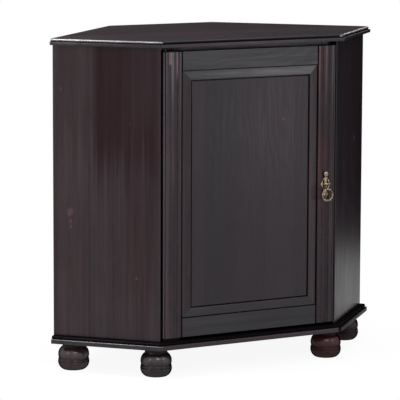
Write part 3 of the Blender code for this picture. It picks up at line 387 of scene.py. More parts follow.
def hardboard():
    """Pressed fibre sheet: matted fibres, with flecks and a faint mottling."""
    s = Shader("hardboard")
    mottled = s.noise(s.place, 26.0, 4.0, 0.6)
    matted = s.combine(s.math("MULTIPLY", s.dot(X_AXIS), 420.0), s.dot(Y_AXIS),
                       s.math("MULTIPLY", s.dot(Z_AXIS), 700.0))
    fibre = s.noise(matted, 1.0, 4.0, 0.65, 1.2)
    fleck = s.noise(s.place, 520.0, 2.0, 0.5)
    colour = s.mix(s.span(fibre, 0.35, 0.65), (0.130, 0.072, 0.040), (0.070, 0.037, 0.021))
    colour = s.mix(s.span(mottled, 0.42, 0.62, 0.0, 0.5), colour, (0.052, 0.028, 0.017))
    colour = s.mix(s.span(fleck, 0.62, 0.70, 0.0, 0.6), colour, (0.200, 0.125, 0.070))
    roughness = s.math("ADD", s.math("MULTIPLY", fibre, 0.25), 0.55)
    return s.finish(colour, roughness, s.bump(fibre, 0.00025, 0.7))


# Mesh helpers

def new_piece(name, mesh, body, node, material, crease=40):
    mesh.materials.clear()
    mesh.materials.append(material)
    mesh.shade_smooth()
    mesh.set_sharp_from_angle(angle=math.radians(crease))
    piece = add_object(name, mesh)
    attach(piece, body)
    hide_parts(node)
    return piece


def finished(name, edit):
    """The mesh of an edit, with its faces turned outwards."""
    bmesh.ops.recalc_face_normals(edit, faces=edit.faces)
    mesh = bpy.data.meshes.new(name)
    edit.to_mesh(mesh)
    edit.free()
    return mesh


def weld(mesh, distance):
    """Joins the points of a mesh that lie together."""
    edit = bmesh.new()
    edit.from_mesh(mesh)
    bmesh.ops.remove_doubles(edit, verts=edit.verts, dist=distance)
    bmesh.ops.recalc_face_normals(edit, faces=edit.faces)
    edit.to_mesh(mesh)
    edit.free()


def loft(name, loops, capped=True):
    """A mesh through closed loops of points with equal counts."""
    edit = bmesh.new()
    rows = [[edit.verts.new(point) for point in loop] for loop in loops]
    for lower, upper in zip(rows, rows[1:]):
        for i in range(len(lower)):
            j = (i + 1) % len(lower)
            edit.faces.new((lower[i], lower[j], upper[j], upper[i]))
    if capped:
        edit.faces.new(list(reversed(rows[0])))
        edit.faces.new(rows[-1])
    return finished(name, edit)


def lathe(name, profile, matrix, segments):
    """A closed turned form; the profile runs from the axis out and back to the axis."""
    edit = bmesh.new()
    rings = []
    for radius, height in profile:
        if radius < 1e-6:
            rings.append([edit.verts.new((0, 0, height))])
            continue
        ring = []
        for i in range(segments):
            angle = math.tau * i / segments
            x, y = radius * math.cos(angle), radius * math.sin(angle)
            ring.append(edit.verts.new((x, y, height)))
        rings.append(ring)
    for lower, upper in zip(rings, rings[1:]):
        for i in range(segments):
            j = (i + 1) % segments
            corners = [lower[i % len(lower)], lower[j % len(lower)], upper[j % len(upper)],
                       upper[i % len(upper)]]
            corners = [c for n, c in enumerate(corners) if c not in corners[:n]]
            if len(corners) > 2:
                edit.faces.new(corners)
    bmesh.ops.transform(edit, matrix=matrix, verts=edit.verts)
    return finished(name, edit)


def arc(centre, radii, start, end, steps):
    """Points of an elliptical arc; start and end are in degrees."""
    points = []
    for step in range(steps + 1):
        angle = math.radians(start + (end - start) * step / steps)
        points.append((centre[0] + radii[0] * math.cos(angle),
                       centre[1] + radii[1] * math.sin(angle)))
    return points


# Top and base boards

UPPER_EDGE = 0.0075                        # sunk line and rounded edge, above the fascia
CORNER_ROUNDS = (0.0022, 0.0016, 0.0012)   # at the front, side and back corners
UNDER_INSET, TOP_INSET = 0.0040, 0.0120    # where the faces below and above begin


def front_corner(out):
    """Corner between the front and a slanted side, on a line so far out from the panels."""
    return ((SLANT_LEVEL + out) / SLANT - out, -out)


def side_corner(out):
    """Corner between a slanted side and the wall behind it, on the same line."""
    level = SLANT_LEVEL + out
    return ((level + WALL_LEVEL) / (2 * SLANT), (WALL_LEVEL - level) / (2 * SLANT))


def back_corner():
    return (WALL_LEVEL / SLANT - BACK_Y, BACK_Y)


def rounded(corners, radii, steps=5):
    """A closed plan with its corners rounded, by a quadratic turn at each."""
    outline = []
    count = len(corners)
    for i, (corner, radius) in enumerate(zip(corners, radii)):
        corner = Vector(corner)
        before = (Vector(corners[i - 1]) - corner).normalized() * radius
        after = (Vector(corners[(i + 1) % count]) - corner).normalized() * radius
        for step in range(steps + 1):
            t = step / steps
            point = corner + before * (1 - t) ** 2 + after * t ** 2
            outline.append((point.x, point.y))
    return outline


def board_plan(out):
    right = [front_corner(out), side_corner(out), back_corner()]
    plan = right + [(-x, y) for x, y in reversed(right)]
    return rounded(plan, CORNER_ROUNDS + CORNER_ROUNDS[::-1])


def board_profile(fascia_high):
    """Moulded edge as (in from the outermost line, up from the underside)."""
    arris, sunk_in, sunk_high, chamfer = 0.0012, 0.0060, 0.0025, 0.0004
    round_in, round_edge = 0.0095, 0.0050
    top = fascia_high + sunk_high
    profile = arc((arris, arris), (arris, arris), 270, 180, 6)
    profile += arc((arris, fascia_high - arris), (arris, arris), 180, 90, 6)
    profile += [(sunk_in - chamfer, fascia_high), (sunk_in, fascia_high + chamfer),
                (sunk_in, top - chamfer), (sunk_in - chamfer, top)]
    return profile + arc((round_in, top), (round_edge, round_edge), 180, 90, 12)


def make_board(node, material):
    low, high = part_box(node)[0].z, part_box(node)[1].z
    levels = [(UNDER_INSET, 0)] + board_profile(high - low - UPPER_EDGE)
    levels += [(TOP_INSET, high - low)]
    loops = []
    for inset, height in levels:
        plan = board_plan(OVERHANG - inset)
        loops.append([(x, y + FRONT_Y, low + height) for x, y in plan])
    new_piece(node + "_dressed", loft(node, loops), "carcass", node, material, 30)


# Pieces of the door

def fluted_outline(width):
    """Section of a fluted strip as (across, out from the stile)."""
    edge_round, edge_out = 0.0016, 0.0066
    ridge_at, ridge_round, ridge_out = 0.0124, 0.0004, 0.0096
    groove_near, groove_out = 0.0004, 0.0088   # a fine groove on both sides of the ridge
    groove_far, hollow_out = 0.0009, 0.0094    # and the edge of the hollow beyond it
    side_deep, middle_deep, steps = 0.0005, 0.0010, 12
    edge = arc((edge_round, edge_out), (edge_round, edge_round), 180, 90, 8)
    ridge = arc((ridge_at, ridge_out), (ridge_round, ridge_round), 180, 0, 6)
    edge_x, ridge_x, beyond_x = edge[-1][0], ridge[0][0], ridge[-1][0]
    left = [(0, 0)] + edge
    for step in range(1, steps):
        t = step / steps
        x = edge_x + (ridge_x - groove_far - edge_x) * t
        level = edge[-1][1] + (ridge[0][1] - edge[-1][1]) * t
        left.append((x, level - side_deep * 4 * t * (1 - t)))
    left += [(ridge_x - groove_far, hollow_out), (ridge_x - groove_near, groove_out)] + ridge
    left += [(beyond_x + groove_near, groove_out), (beyond_x + groove_far, hollow_out)]
    middle = []
    start = left[-1][0]
    for step in range(1, 2 * steps):
        t = step / (2 * steps)
        level = hollow_out - middle_deep * 4 * t * (1 - t)
        middle.append((start + (width - 2 * start) * t, level))
    return left + middle + [(width - x, level) for x, level in reversed(left)]


def make_fluted_strip(side, material):
    node = side + "_fluted_strip"
    low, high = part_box(node)
    outline = fluted_outline(high.x - low.x)
    middle = (high.x - low.x) / 2
    softened = ((0.0, 0.0007), (0.0002, 0.0003), (0.0007, 0.0))   # (from the end, inset)
    levels = [(low.z + rise, inset) for rise, inset in softened]
    levels += [(high.z - drop, inset) for drop, inset in reversed(softened)]
    loops = []
    for z, inset in levels:
        loop = []
        for across, out in outline:
            x = across - math.copysign(min(inset, abs(across - middle)), across - middle)
            loop.append((low.x + x, high.y - max(out - inset, 0.0), z))
        loops.append(loop)
    new_piece(node + "_dressed", loft(node, loops), "door", node, material, 32)


def moulding_section():
    """Section of a panel moulding as (in from the frame, up from the panel)."""
    width, outer, inner, lip, nose = 0.0225, 0.0090, 0.0129, 0.0010, 0.0012
    slope_end = width - nose
    points = [(0, 0), (0, outer - 0.0004), (0.0002, outer - 0.0001), (0.0005, outer), (lip, outer)]
    steps, wave = 28, 0.02
    for step in range(1, steps):
        t = step / steps
        swell = t - wave * math.sin(math.tau * t)
        points.append((lip + (slope_end - lip) * t, outer + (inner - outer) * swell))
    return points + arc((slope_end, inner - nose), (nose, nose), 90, 0, 12) + [(width, 0)]


def make_moulding(side, material):
    node = "moulding_" + side
    low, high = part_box(node)
    face = high.y
    upright = side in ("left", "right")
    half = (high.z - low.z) / 2 if upright else (high.x - low.x) / 2
    middle = (low + high) / 2
    loops = []
    for end in (-1, 1):
        loop = []
        for inset, out in moulding_section():
            along = end * (half - inset)
            if upright:
                x = low.x + inset if side == "left" else high.x - inset
                loop.append((x, face - out, middle.z + along))
            else:
                z = low.z + inset if side == "bottom" else high.z - inset
                loop.append((middle.x + along, face - out, z))
        loops.append(loop)
    new_piece(node + "_dressed", loft(node, loops), "door", node, material, 32)


def make_door_panel(material):
    """The panel's plate and its raised field, with softened arrises round the field."""
    low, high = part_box("door_panel")
    clear, wider = 0.0039, 0.0007   # gap round the model's field, and how much of it is filled
    plate_thick, arris = 0.006, 0.0008
    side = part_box("moulding_right")[0].x - clear + wider
    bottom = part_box("moulding_bottom")[1].z + clear - wider
    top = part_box("moulding_top")[0].z - clear + wider
    plate_front = high.y - plate_thick
    rows = [(high.y, None), (plate_front, None), (plate_front, 0.0)]
    for inset, back in arc((arris, arris), (arris, arris), 180, 270, 6):
        rows.append((low.y + back, inset))
    loops = []
    for y, inset in rows:
        if inset is None:
            corners = [(low.x, low.z), (high.x, low.z), (high.x, high.z), (low.x, high.z)]
        else:
            corners = [(-side + inset, bottom + inset), (side - inset, bottom + inset),
                       (side - inset, top - inset), (-side + inset, top - inset)]
        loops.append([(x, y, z) for x, z in corners])
    new_piece("door_panel_dressed", loft("door_panel", loops), "door", "door_panel",
              material, 40)


# Feet

def foot_profile(height):
    """Profile of a turned foot: neck, upper bulge, two fine grooves and lower bulge."""
    core, neck, neck_start, arris = 0.0200, 0.0286, 0.0592, 0.0004
    upper = (0.0385, 0.0197, 0.0222)   # middle height, reach and half height
    lower = (0.0200, 0.0202, 0.0220)
    upper_end = 0.0578
    notch, notch_half, notch_step = 0.0287, 0.0013, 0.0006
    groove, groove_deep, groove_half = 0.0222, 0.0011, 0.0008

    profile = [(0, 0)]
    start = math.asin(-lower[0] / lower[2])
    end = math.asin((notch - notch_half - lower[0]) / lower[2])
    for step in range(49):
        angle = start + (end - start) * step / 48
        radius = core + lower[1] * math.cos(angle)
        z = lower[0] + lower[2] * math.sin(angle)
        cut = groove_deep * math.exp(-((z - groove) / groove_half) ** 2)
        profile.append((radius - cut, max(z, 0.0)))
    edge = profile[-1][0]
    for inset, rise in ((0.0010, -notch_step), (0.0013, 0.0), (0.0011, notch_step)):
        profile.append((edge - inset, notch + rise))
    start = math.asin((notch + notch_half - upper[0]) / upper[2])
    end = math.asin((upper_end - upper[0]) / upper[2])
    for step in range(41):
        angle = start + (end - start) * step / 40
        profile.append((core + upper[1] * math.cos(angle), upper[0] + upper[2] * math.sin(angle)))
    profile += [(neck + arris, neck_start - 0.0006), (neck, neck_start), (neck, height - arris),
                (neck - arris, height), (0, height)]
    return profile


def make_foot(side, where, material):
    node = f"{side}_{where}_foot"
    low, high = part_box(node)
    middle = Matrix.Translation(((low.x + high.x) / 2, (low.y + high.y) / 2, low.z))
    mesh = lathe(node, foot_profile(high.z - low.z), middle, 96)
    new_piece(node + "_dressed", mesh, "carcass", node, material, 40)


# Pull

RING_AT = Vector(frame["joints"][1]["pos_m"])


def applied(piece):
    """The mesh of an object with its modifiers, in the shared frame; the object goes."""
    bpy.context.view_layer.update()
    evaluated = piece.evaluated_get(bpy.context.evaluated_depsgraph_get())
    solid = bpy.data.meshes.new_from_object(evaluated)
    solid.transform(piece.matrix_world)
    bpy.data.objects.remove(piece, do_unlink=True)
    return solid


def combine_meshes(name, first, others, operation="UNION"):
    """One closed mesh from several that overlap."""
    base = add_object(name, first)
    tools = [add_object(f"{name}_tool_{i}", mesh) for i, mesh in enumerate(others)]
    for tool in tools:
        modifier = base.modifiers.new(tool.name, "BOOLEAN")
        modifier.operation = operation
        modifier.object = tool
        modifier.solver = "EXACT"
    mesh = applied(base)
    for tool in tools:
        bpy.data.objects.remove(tool, do_unlink=True)
    return mesh


def ball(radii, centre, segments=32):
    edit = bmesh.new()
    bmesh.ops.create_uvsphere(edit, u_segments=segments, v_segments=segments // 2, radius=1.0)
    matrix = Matrix.Translation(centre) @ Matrix.Diagonal((*radii, 1.0))
    bmesh.ops.transform(edit, matrix=matrix, verts=edit.verts)
    return finished("ball", edit)


# Tail of the plate, as (share of its length, half width)
TAIL_SHAPE = ((0.24, 0.0040), (0.29, 0.0049), (0.34, 0.0060), (0.40, 0.0069), (0.46, 0.0074),
              (0.52, 0.0076), (0.58, 0.0074), (0.63, 0.0069), (0.68, 0.0060), (0.72, 0.0049),
              (0.76, 0.0036), (0.79, 0.0026), (0.83, 0.0020), (0.87, 0.0022), (0.90, 0.0025),
              (0.94, 0.0021), (0.97, 0.0014))

# Domes on the plate: (radii, height above the post's middle, segments)
DOMES = (((0.0065, 0.0033, 0.0065), 0.0385, 32), ((0.0050, 0.0026, 0.0050), 0.0120, 32),
         ((0.0030, 0.0016, 0.0011), 0.0318, 20))


def plate_outlines():
    """Outline and four openings of the pierced plate, as (across, up from the post)."""
    centre, half_width, half_height, band, stem_half = 0.0120, 0.0120, 0.0175, 0.0032, 0.0034
    knob, neck_half, tail_neck, tail_long, bar_half = 0.0026, 0.0021, 0.0042, 0.0270, 0.0021
    knob_angle = math.degrees(math.asin(knob / half_height))
    neck = math.degrees(math.acos(neck_half / half_width))
    tail = math.degrees(math.acos(tail_neck / 2 / half_width))
    right = [(neck_half, 0.0335)]
    right += arc((0, centre), (half_width, half_height), neck, knob_angle, 20)
    right += arc((half_width, centre), (knob, knob), 60, -60, 12)
    right += arc((0, centre), (half_width, half_height), -knob_angle, -tail, 20)
    right += [(width, -tail_long * share) for share, width in TAIL_SHAPE]
    outlines = [right + [(0, -tail_long)] + [(-x, z) for x, z in reversed(right)]]
    inner = (half_width - band, half_height - band)
    low = math.degrees(math.asin(bar_half / inner[1]))
    high = math.degrees(math.acos(stem_half / inner[0]))
    quarter = arc((0, 0), inner, low, high, 12) + [(stem_half, bar_half)]
    for sign_x in (1, -1):
        for sign_z in (1, -1):
            outlines.append([(sign_x * x, centre + sign_z * z) for x, z in quarter])
    return outlines


def make_plate(material):
    back, thickness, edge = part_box("pull_plate")[1].y, 0.0016, 0.00045
    curve = bpy.data.curves.new("pull_plate", "CURVE")
    curve.dimensions = "2D"
    curve.fill_mode = "BOTH"
    curve.extrude = thickness / 2 - edge
    curve.bevel_depth = edge
    curve.bevel_resolution = 2
    curve.offset = -edge
    for outline in plate_outlines():
        spline = curve.splines.new("POLY")
        spline.points.add(len(outline) - 1)
        for point, (x, z) in zip(spline.points, outline):
            point.co = (x, z, 0, 1)
        spline.use_cyclic_u = True
    flat = add_object("pull_plate_curve", curve)
    upright = Euler((math.radians(90), 0, 0)).to_matrix().to_4x4()
    flat.matrix_world = Matrix.Translation((RING_AT.x, back - thickness / 2, RING_AT.z)) @ upright
    plate = applied(flat)
    weld(plate, 0.00002)
    domes = [ball(radii, (RING_AT.x, back - FIT - radii[1], RING_AT.z + rise), segments)
             for radii, rise, segments in DOMES]
    mesh = combine_meshes("pull_plate", plate, domes)
    new_piece("pull_plate_dressed", mesh, "door", "pull_plate", material, 35)


def make_post(material):
    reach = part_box("pull_post")[1].y - RING_AT.y
    head, stem, foot, eye_radius, eye_half = 0.0047, 0.0028, 0.0042, 0.0027, 0.01
    start = math.degrees(math.asin(stem / head))
    profile = arc((0, 0), (head, head), 90, start - 90, 28)
    profile[0] = (0, head)
    profile += [(stem, 0.0018 - reach), (stem + 0.0004, 0.0013 - reach),
                (foot - 0.0002, 0.0011 - reach), (foot, 0.0008 - reach), (foot, -reach),
                (0, -reach)]
    facing = Matrix.Translation(RING_AT) @ Matrix.Rotation(math.radians(90), 4, "X")
    post = lathe("pull_post", profile, facing, 48)
    sideways = Matrix.Translation(RING_AT) @ Matrix.Rotation(math.radians(90), 4, "Y")
    hole = [(0, -eye_half), (eye_radius, -eye_half), (eye_radius, eye_half), (0, eye_half)]
    eye = lathe("eye", hole, sideways, 32)
    mesh = combine_meshes("pull_post", post, [eye], "DIFFERENCE")
    new_piece("pull_post_dressed", mesh, "door", "pull_post", material, 35)


def make_ring(material):
    radius, wire, bead, bead_turn = 0.0150, 0.0018, 0.0034, 0.085
    steps, sides = 120, 20
    loops = []
    for step in range(steps):
        angle = math.tau * step / steps
        out = Vector((math.sin(angle), 0, math.cos(angle)))
        loop = []
        for turn in range(sides):
            share = math.tau * turn / sides
            spot = out * (radius + wire * math.cos(share))
            spot += Vector((0, wire * math.sin(share), 0))
            loop.append(spot + RING_AT - Vector((0, 0, radius)))
        loops.append(loop)
    ring = loft("pull_ring", loops + [loops[0]], capped=False)
    weld(ring, 0.00001)
    beads = []
    for number in (-1, 0, 1):
        angle = math.tau * (0.5 + number * bead_turn)
        spot = RING_AT + Vector((math.sin(angle), 0, math.cos(angle) - 1)) * radius
        beads.append(ball((bead,) * 3, spot, 28))
    mesh = combine_meshes("pull_ring", ring, beads)
    new_piece("pull_ring_dressed", mesh, "ring", "pull_ring", material, 35)


# Dressing the nodes

def paint(node, material):
    for slot in NODES[node].material_slots:
        slot.material = material


RIDGE_FROM, RIDGE_TO = 0.2458, 0.2466   # how far out the ridges begin to stand proud
LEFT_RIDGES = (-0.2298, -0.2110)        # places across, from the middle of the door
RIGHT_STRIP_MIDDLE = 0.2199
# Bare upper ends of the left strip's ridges, as (across, half width, from, to, strength)
BARE_ENDS = ((LEFT_RIDGES[0], 0.0036, 0.788, 0.794, 0.45),
             (LEFT_RIDGES[1], 0.0020, 0.735, 0.800, 0.65))


def ridge_wear(s):
    """Light specks of wear along the strips' ridges, and bare wood at the top of the left one."""
    out = s.math("MULTIPLY", s.dot(Y_AXIS), -1.0)
    on_ridge = s.span(out, RIDGE_FROM, RIDGE_TO, smooth=True)
    wear_and_highlight = s.noise(s.place, 120.0, 3.0, 0.6)
    speck = s.noise(s.combine(s.math("MULTIPLY", s.dot(X_AXIS), 300.0), 0.0,
                              s.math("MULTIPLY", s.dot(Z_AXIS), 110.0)), 1.0, 2.0)
    worn = s.math("ADD", s.span(wear_and_highlight, 0.45, 0.75, 0.02, 0.15),
                  s.span(speck, 0.62, 0.70, 0.0, 0.26))
    share = s.math("MULTIPLY", on_ridge, worn, clamp=True)
    for ridge, half_width, low, high, strength in BARE_ENDS:
        beside = s.math("ABSOLUTE", s.math("SUBTRACT", s.dot(X_AXIS), ridge))
        wide = s.span(beside, half_width, half_width - 0.0012, 0.0, strength, smooth=True)
        bare = s.math("MULTIPLY", wide, s.span(s.dot(Z_AXIS), low, high, smooth=True))
        uneven = s.span(wear_and_highlight, 0.30, 0.60, 0.7, 1.0)
        share = s.math("MAXIMUM", share, s.math("MULTIPLY", bare, uneven))
    return share


def edge_line(node):
    """Height of the top of a board's fascia above the floor."""
    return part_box(node)[1].z - UPPER_EDGE


def beyond(s, sign, low, high):
    """0 to 1 across a strip along a return's moulded edge, measured in from its outermost line."""
    out = s.dot((sign * SLANT, -SLANT, 0))
    edge = SLANT_LEVEL + OVERHANG - SLANT * FRONT_Y
    return s.span(out, edge - low, edge - high, smooth=True)


def base_painted_shine(s):
    """Painted shade and highlight in the shine of the base board: none above its fascia and little
    on the right return, painted shade with a near-black colour, and most on the fascia's upper
    arris along the left return, a painted highlight."""
    height, line = s.dot(Z_AXIS), edge_line("base_board")
    above = s.span(height, line - 0.0005, line + 0.0005, 1.0, 0.02, smooth=True)
    arris = s.span(height, line - 0.0022, line - 0.0014, 1.15, 4.4, smooth=True)
    # painted highlight on the fascia's upper arris along the left return
    wear_and_highlight = s.math("MULTIPLY", beyond(s, LEFT, 0.0080, 0.0060), arris)
    dimmed = s.math("MULTIPLY", beyond(s, RIGHT, 0.0060, 0.0040), 0.97)
    kept = s.math("MULTIPLY", above, s.math("MAXIMUM", wear_and_highlight, 1.0))
    return s.math("MULTIPLY", kept, s.math("SUBTRACT", 1.0, dimmed))


def top_painted_shine(s):
    """Painted shade and highlight in the shine of the top board: little in the sunk line and on
    the rounded edge of the front, painted shade with a darker colour, and most on the rounded edge
    of the returns, a painted highlight."""
    height, line = s.dot(Z_AXIS), edge_line("top_board")
    into = s.span(height, line - 0.0007, line, smooth=True)
    out_of = s.span(height, line + 0.0030, line + 0.0042, smooth=True)
    sunk = s.math("SUBTRACT", 1.0, s.math("MULTIPLY", s.math("SUBTRACT", into, out_of), 0.88))
    sides = s.math("MAXIMUM", beyond(s, LEFT, 0.0110, 0.0098), beyond(s, RIGHT, 0.0110, 0.0098))
    front_loss = s.span(height, line + 0.0060, line + 0.0072, -0.75, 0.0)
    gain = s.span(sides, 0.0, 1.0, front_loss, 3.6)
    rounded_edge = s.span(height, line + 0.0025, line + 0.0035, smooth=True)
    return s.math("ADD", sunk, s.math("MULTIPLY", rounded_edge, gain))


def left_strip_painted_sheen(s):
    """Painted sheen on the left strip: its shine is brighter outside its first ridge."""
    across, blur = s.dot(X_AXIS), 0.0006
    outer, inner = [(ridge - blur, ridge + blur) for ridge in LEFT_RIDGES]
    beside = s.span(across, *outer, 1.32, 0.95, smooth=True)
    return s.math("ADD", beside, s.span(across, *inner, 0.0, -0.02, smooth=True))


def right_strip_painted_shade(s):
    """Painted shade on the right strip: its shine is duller between its ridges."""
    beside = s.math("ABSOLUTE", s.math("SUBTRACT", s.dot(X_AXIS), RIGHT_STRIP_MIDDLE))
    return s.span(beside, 0.0088, 0.0100, 0.80, 1.0, smooth=True)


def stile_painted_highlight(s):
    """Painted highlight on a stile: the shine of its raised outer edge is doubled."""
    outer = s.math("ABSOLUTE", s.dot(X_AXIS))
    return s.span(outer, 0.2430, 0.2436, 1.0, 2.0, smooth=True)


def foot_painted_shine(s):
    """Painted highlight and shade in a foot's shine: most on its upper bulge, and little on the
    neck and at the rim, where the colour also goes darker.
    """
    height = s.dot(Z_AXIS)
    neck = s.span(height, 0.0580, 0.0595, 1.0, 0.25, smooth=True)
    bulges = s.span(height, 0.030, 0.044, 0.60, 1.25, smooth=True)
    # painted shade: the rim darkens as the surface turns away
    turning = s.node("ShaderNodeLayerWeight")
    turning.inputs["Blend"].default_value = 0.5
    rim = s.span(turning.outputs["Facing"], 0.20, 0.68, 1.0, 0.0, smooth=True)
    return s.math("MULTIPLY", s.math("MULTIPLY", neck, bulges), rim)


# Stain and shine of the feet that differ
FEET = {("left", "side"): dict(red=1.0, shine=0.46, base=(0.0340, 0.0180, 0.0205), deeper=-0.30),
        ("right", "front"): dict(red=1.0, shine=0.20, base=(0.0340, 0.0075, 0.0090), deeper=-0.35),
        ("right", "side"): dict(red=1.0, shine=0.18, base=(0.0200, 0.0080, 0.0090), deeper=-0.10)}
STRIPS = {"left": dict(red=0.7, cool=0.5, shine=0.32, painted_light=left_strip_painted_sheen),
          "right": dict(red=1.2, shine=0.27, painted_light=right_strip_painted_shade)}


def dress_carcass():
    left_across, right_across = (SLANT, -SLANT, 0), (SLANT, SLANT, 0)
    corner = Vector((-FRONT_WIDTH / 2, FRONT_Y, 0)).dot(left_across)
    knots = ((corner - 0.238, 0.411, 0.0100), (corner - 0.236, 0.388, 0.0050),
             (corner - 0.235, 0.374, 0.0042), (corner - 0.262, 0.722, 0.0045),
             (corner - 0.078, 0.640, 0.0040), (corner - 0.060, 0.250, 0.0045))
    patches = ((corner - 0.088, 0.740, 0.088, 0.220, 1.0),
               (corner - 0.182, 0.760, 0.094, 0.200, 0.50),
               (corner - 0.044, 0.400, 0.044, 0.240, 0.4))
    paint("left_side_panel", wood("pine_left_return", Z_AXIS, left_across, 1.0, 0.088, knots,
                                  red=0.4, patches=patches, cool=0.3, deeper=0.12, shine=0.325))
    corner = Vector((FRONT_WIDTH / 2, FRONT_Y, 0)).dot(right_across)
    knots = ((corner + 0.190, 0.560, 0.0060),)
    paint("right_side_panel", wood("pine_right_return", Z_AXIS, right_across, 2.0, 0.081, knots,
                                   gloss=-0.04, shine=0.21, cool=0.6, red=0.1, deeper=0.45))
    knots = ((0.055, 0.350, 0.0080), (-0.060, 0.640, 0.0060))
    paint("left_wall_panel", wood("pine_left_wall", Z_AXIS, right_across, 3.0, 0.078, knots))
    paint("right_wall_panel", wood("pine_right_wall", Z_AXIS, left_across, 4.0, 0.078, knots))
    posts = wood("pine_stop_posts", Z_AXIS, X_AXIS, 10.0)
    paint("left_stop_post", posts)
    paint("right_stop_post", posts)
    paint("top_stop_rail", wood("pine_stop_rail", X_AXIS, Z_AXIS, 11.0))
    knots = ((0.05, -0.14, 0.0070),)
    paint("shelf", wood("pine_shelf", X_AXIS, Y_AXIS, 12.0, 0.092, knots))
    knots = ((0.020, -0.200, 0.0070), (0.120, 0.210, 0.0060))
    make_board("top_board", wood("pine_top_board", X_AXIS, Y_AXIS, 13.0, 0.094, knots,
                                 cool=0.8, painted_light=top_painted_shine))
    make_board("base_board", wood("pine_base_board", X_AXIS, Y_AXIS, 14.0, 0.094, cool=1.0,
                                  painted_light=base_painted_shine))
    seed = 21.0
    for side in ("left", "right"):
        for where in ("front", "side", "back"):
            own = FEET.get((side, where), dict(red=0.5, shine=0.42))
            make_foot(side, where, wood(f"pine_{side}_{where}_foot", Z_AXIS, X_AXIS, seed,
                                        gloss=0.01, painted_light=foot_painted_shine, **own))
            seed += 1


def dress_door():
    make_door_panel(wood("pine_door_panel", Z_AXIS, X_AXIS, 5.0, 0.086, ((0.095, 0.640, 0.0040),),
                         red=0.08, cool=1.0, shine=0.295, calm=0.7))
    paint("door_left_stile", wood("pine_left_stile", Z_AXIS, X_AXIS, 6.0, cool=0.8,
                                  painted_light=stile_painted_highlight))
    paint("door_right_stile", wood("pine_right_stile", Z_AXIS, X_AXIS, 7.0, cool=0.8))
    paint("door_top_rail", wood("pine_top_rail", X_AXIS, Z_AXIS, 8.0, cool=1.0, red=0.1,
                                shine=0.365))
    paint("door_bottom_rail", wood("pine_bottom_rail", X_AXIS, Z_AXIS, 9.0, cool=1.0, red=0.1))
    for number, side in enumerate(STRIPS):
        make_fluted_strip(side, wood(f"pine_{side}_strip", Z_AXIS, X_AXIS, 15.0 + number,
                                     wear=ridge_wear, **STRIPS[side]))
        make_moulding(side, wood(f"pine_{side}_moulding", Z_AXIS, X_AXIS, 17.0 + number))
    for number, side in enumerate(("bottom", "top")):
        make_moulding(side, wood(f"pine_{side}_moulding", X_AXIS, Z_AXIS, 19.0 + number,
                                 cool=0.9, red=0.1))


def dress_fittings():
    paint("corner_back_panel", hardboard())
    zinc = plain_metal("zinc_steel", (0.56, 0.57, 0.58), (0.36, 0.37, 0.39), 240.0, 0.20)
    # painted shade: the hinge leaves get a near-black colour, darker than bronzed steel, for the
    # shade of the door's gap
    bronzed = plain_metal("bronzed_steel", (0.014, 0.012, 0.011), (0.007, 0.006, 0.006),
                          160.0, 0.42)
    # painted shade: the washers get a near-black colour for the shade of the door's gap where they
    # sit
    nylon = moulded_plastic("black_nylon", (0.022, 0.022, 0.023), (0.014, 0.014, 0.015),
                            0.46, 0.10)
    brown = moulded_plastic("brown_plastic", (0.062, 0.034, 0.021), (0.044, 0.024, 0.015),
                            0.38, 0.45)
    for node in NODES:
        if node.startswith("shelf_pin") or node.endswith(("_bolt", "_pin", "_screw", "_strike")):
            paint(node, zinc)
        elif node.endswith("_leaf"):
            paint(node, bronzed)
        elif node.endswith("_washer"):
            paint(node, nylon)
    paint("magnetic_catch", brown)
    make_plate(brass("brass_plate", 0.0))
    make_post(brass("brass_post", 3.0))
    make_ring(brass("brass_ring", 7.0, RING_BRASS, 0.8))


dress_carcass()
dress_door()
dress_fittings()


# Studio

WHITE = (1, 1, 1, 1)
FLOOR_COLOUR = (0.90, 0.90, 0.90, 1.0)
FLOOR_HALF, FLOOR_DROP = 60.0, 0.0002
FLOOR_FADE = (0.30, 0.75, 0.92, 1.0)   # from, to, and the share of plain white at each
AMBIENT = 0.52
FLAG_RADIUS, FLAG_HEIGHT, FLAG_STEPS = 1.62, 2.20, 24
FLAG_START, FLAG_SWEEP = 5, 85         # degrees from straight behind, towards the right
# Glow of the flag near the floor and higher up, as (from, to, glow at each)
FLAG_GLOW = ((0.0, 0.03, 0.80, 0.0), (0.95, 1.10, 0.0, 0.075))
# Lights: name, place, target, size in metres, power in watts
LIGHTS = (("overhead", (0.1, -0.4, 3.2), (0, 0, 0.4), (2.4, 1.8), 42.0),
          ("above_left", (-1.5, 0.3, 3.0), (-0.4, 0, 0.8), (1.1, 1.0), 54.0),
          ("rear_right", (1.40, 0.78, 1.24), (0.4, 0.05, 0.85), (0.45, 0.24), 1.4),
          ("low_right", (2.6, -4.7, 0.30), (0.1, -0.25, 0.75), (0.8, 0.5), 6.0),
          ("front_right", (1.5, -2.3, 1.75), (0.1, 0, 0.7), (0.7, 0.9), 13.5),
          ("front_left", (-0.8, -3.2, 2.6), (0, 0, 0.3), (0.7, 0.7), 45.0),
          ("left", (-3.0, -0.9, 1.3), (0, 0, 0.4), (0.6, 0.9), 10.0))


def empty_tree(owner):
    owner.use_nodes = True
    owner.node_tree.nodes.clear()
    return owner.node_tree


def add_node(tree, kind, *inputs, **settings):
    """A new node whose first inputs are linked to sockets or set to values."""
    made = tree.nodes.new(kind)
    for key, value in settings.items():
        setattr(made, key, value)
    for socket, value in zip(made.inputs, inputs):
        if isinstance(value, bpy.types.NodeSocket):
            tree.links.new(value, socket)
        else:
            socket.default_value = value
    return made


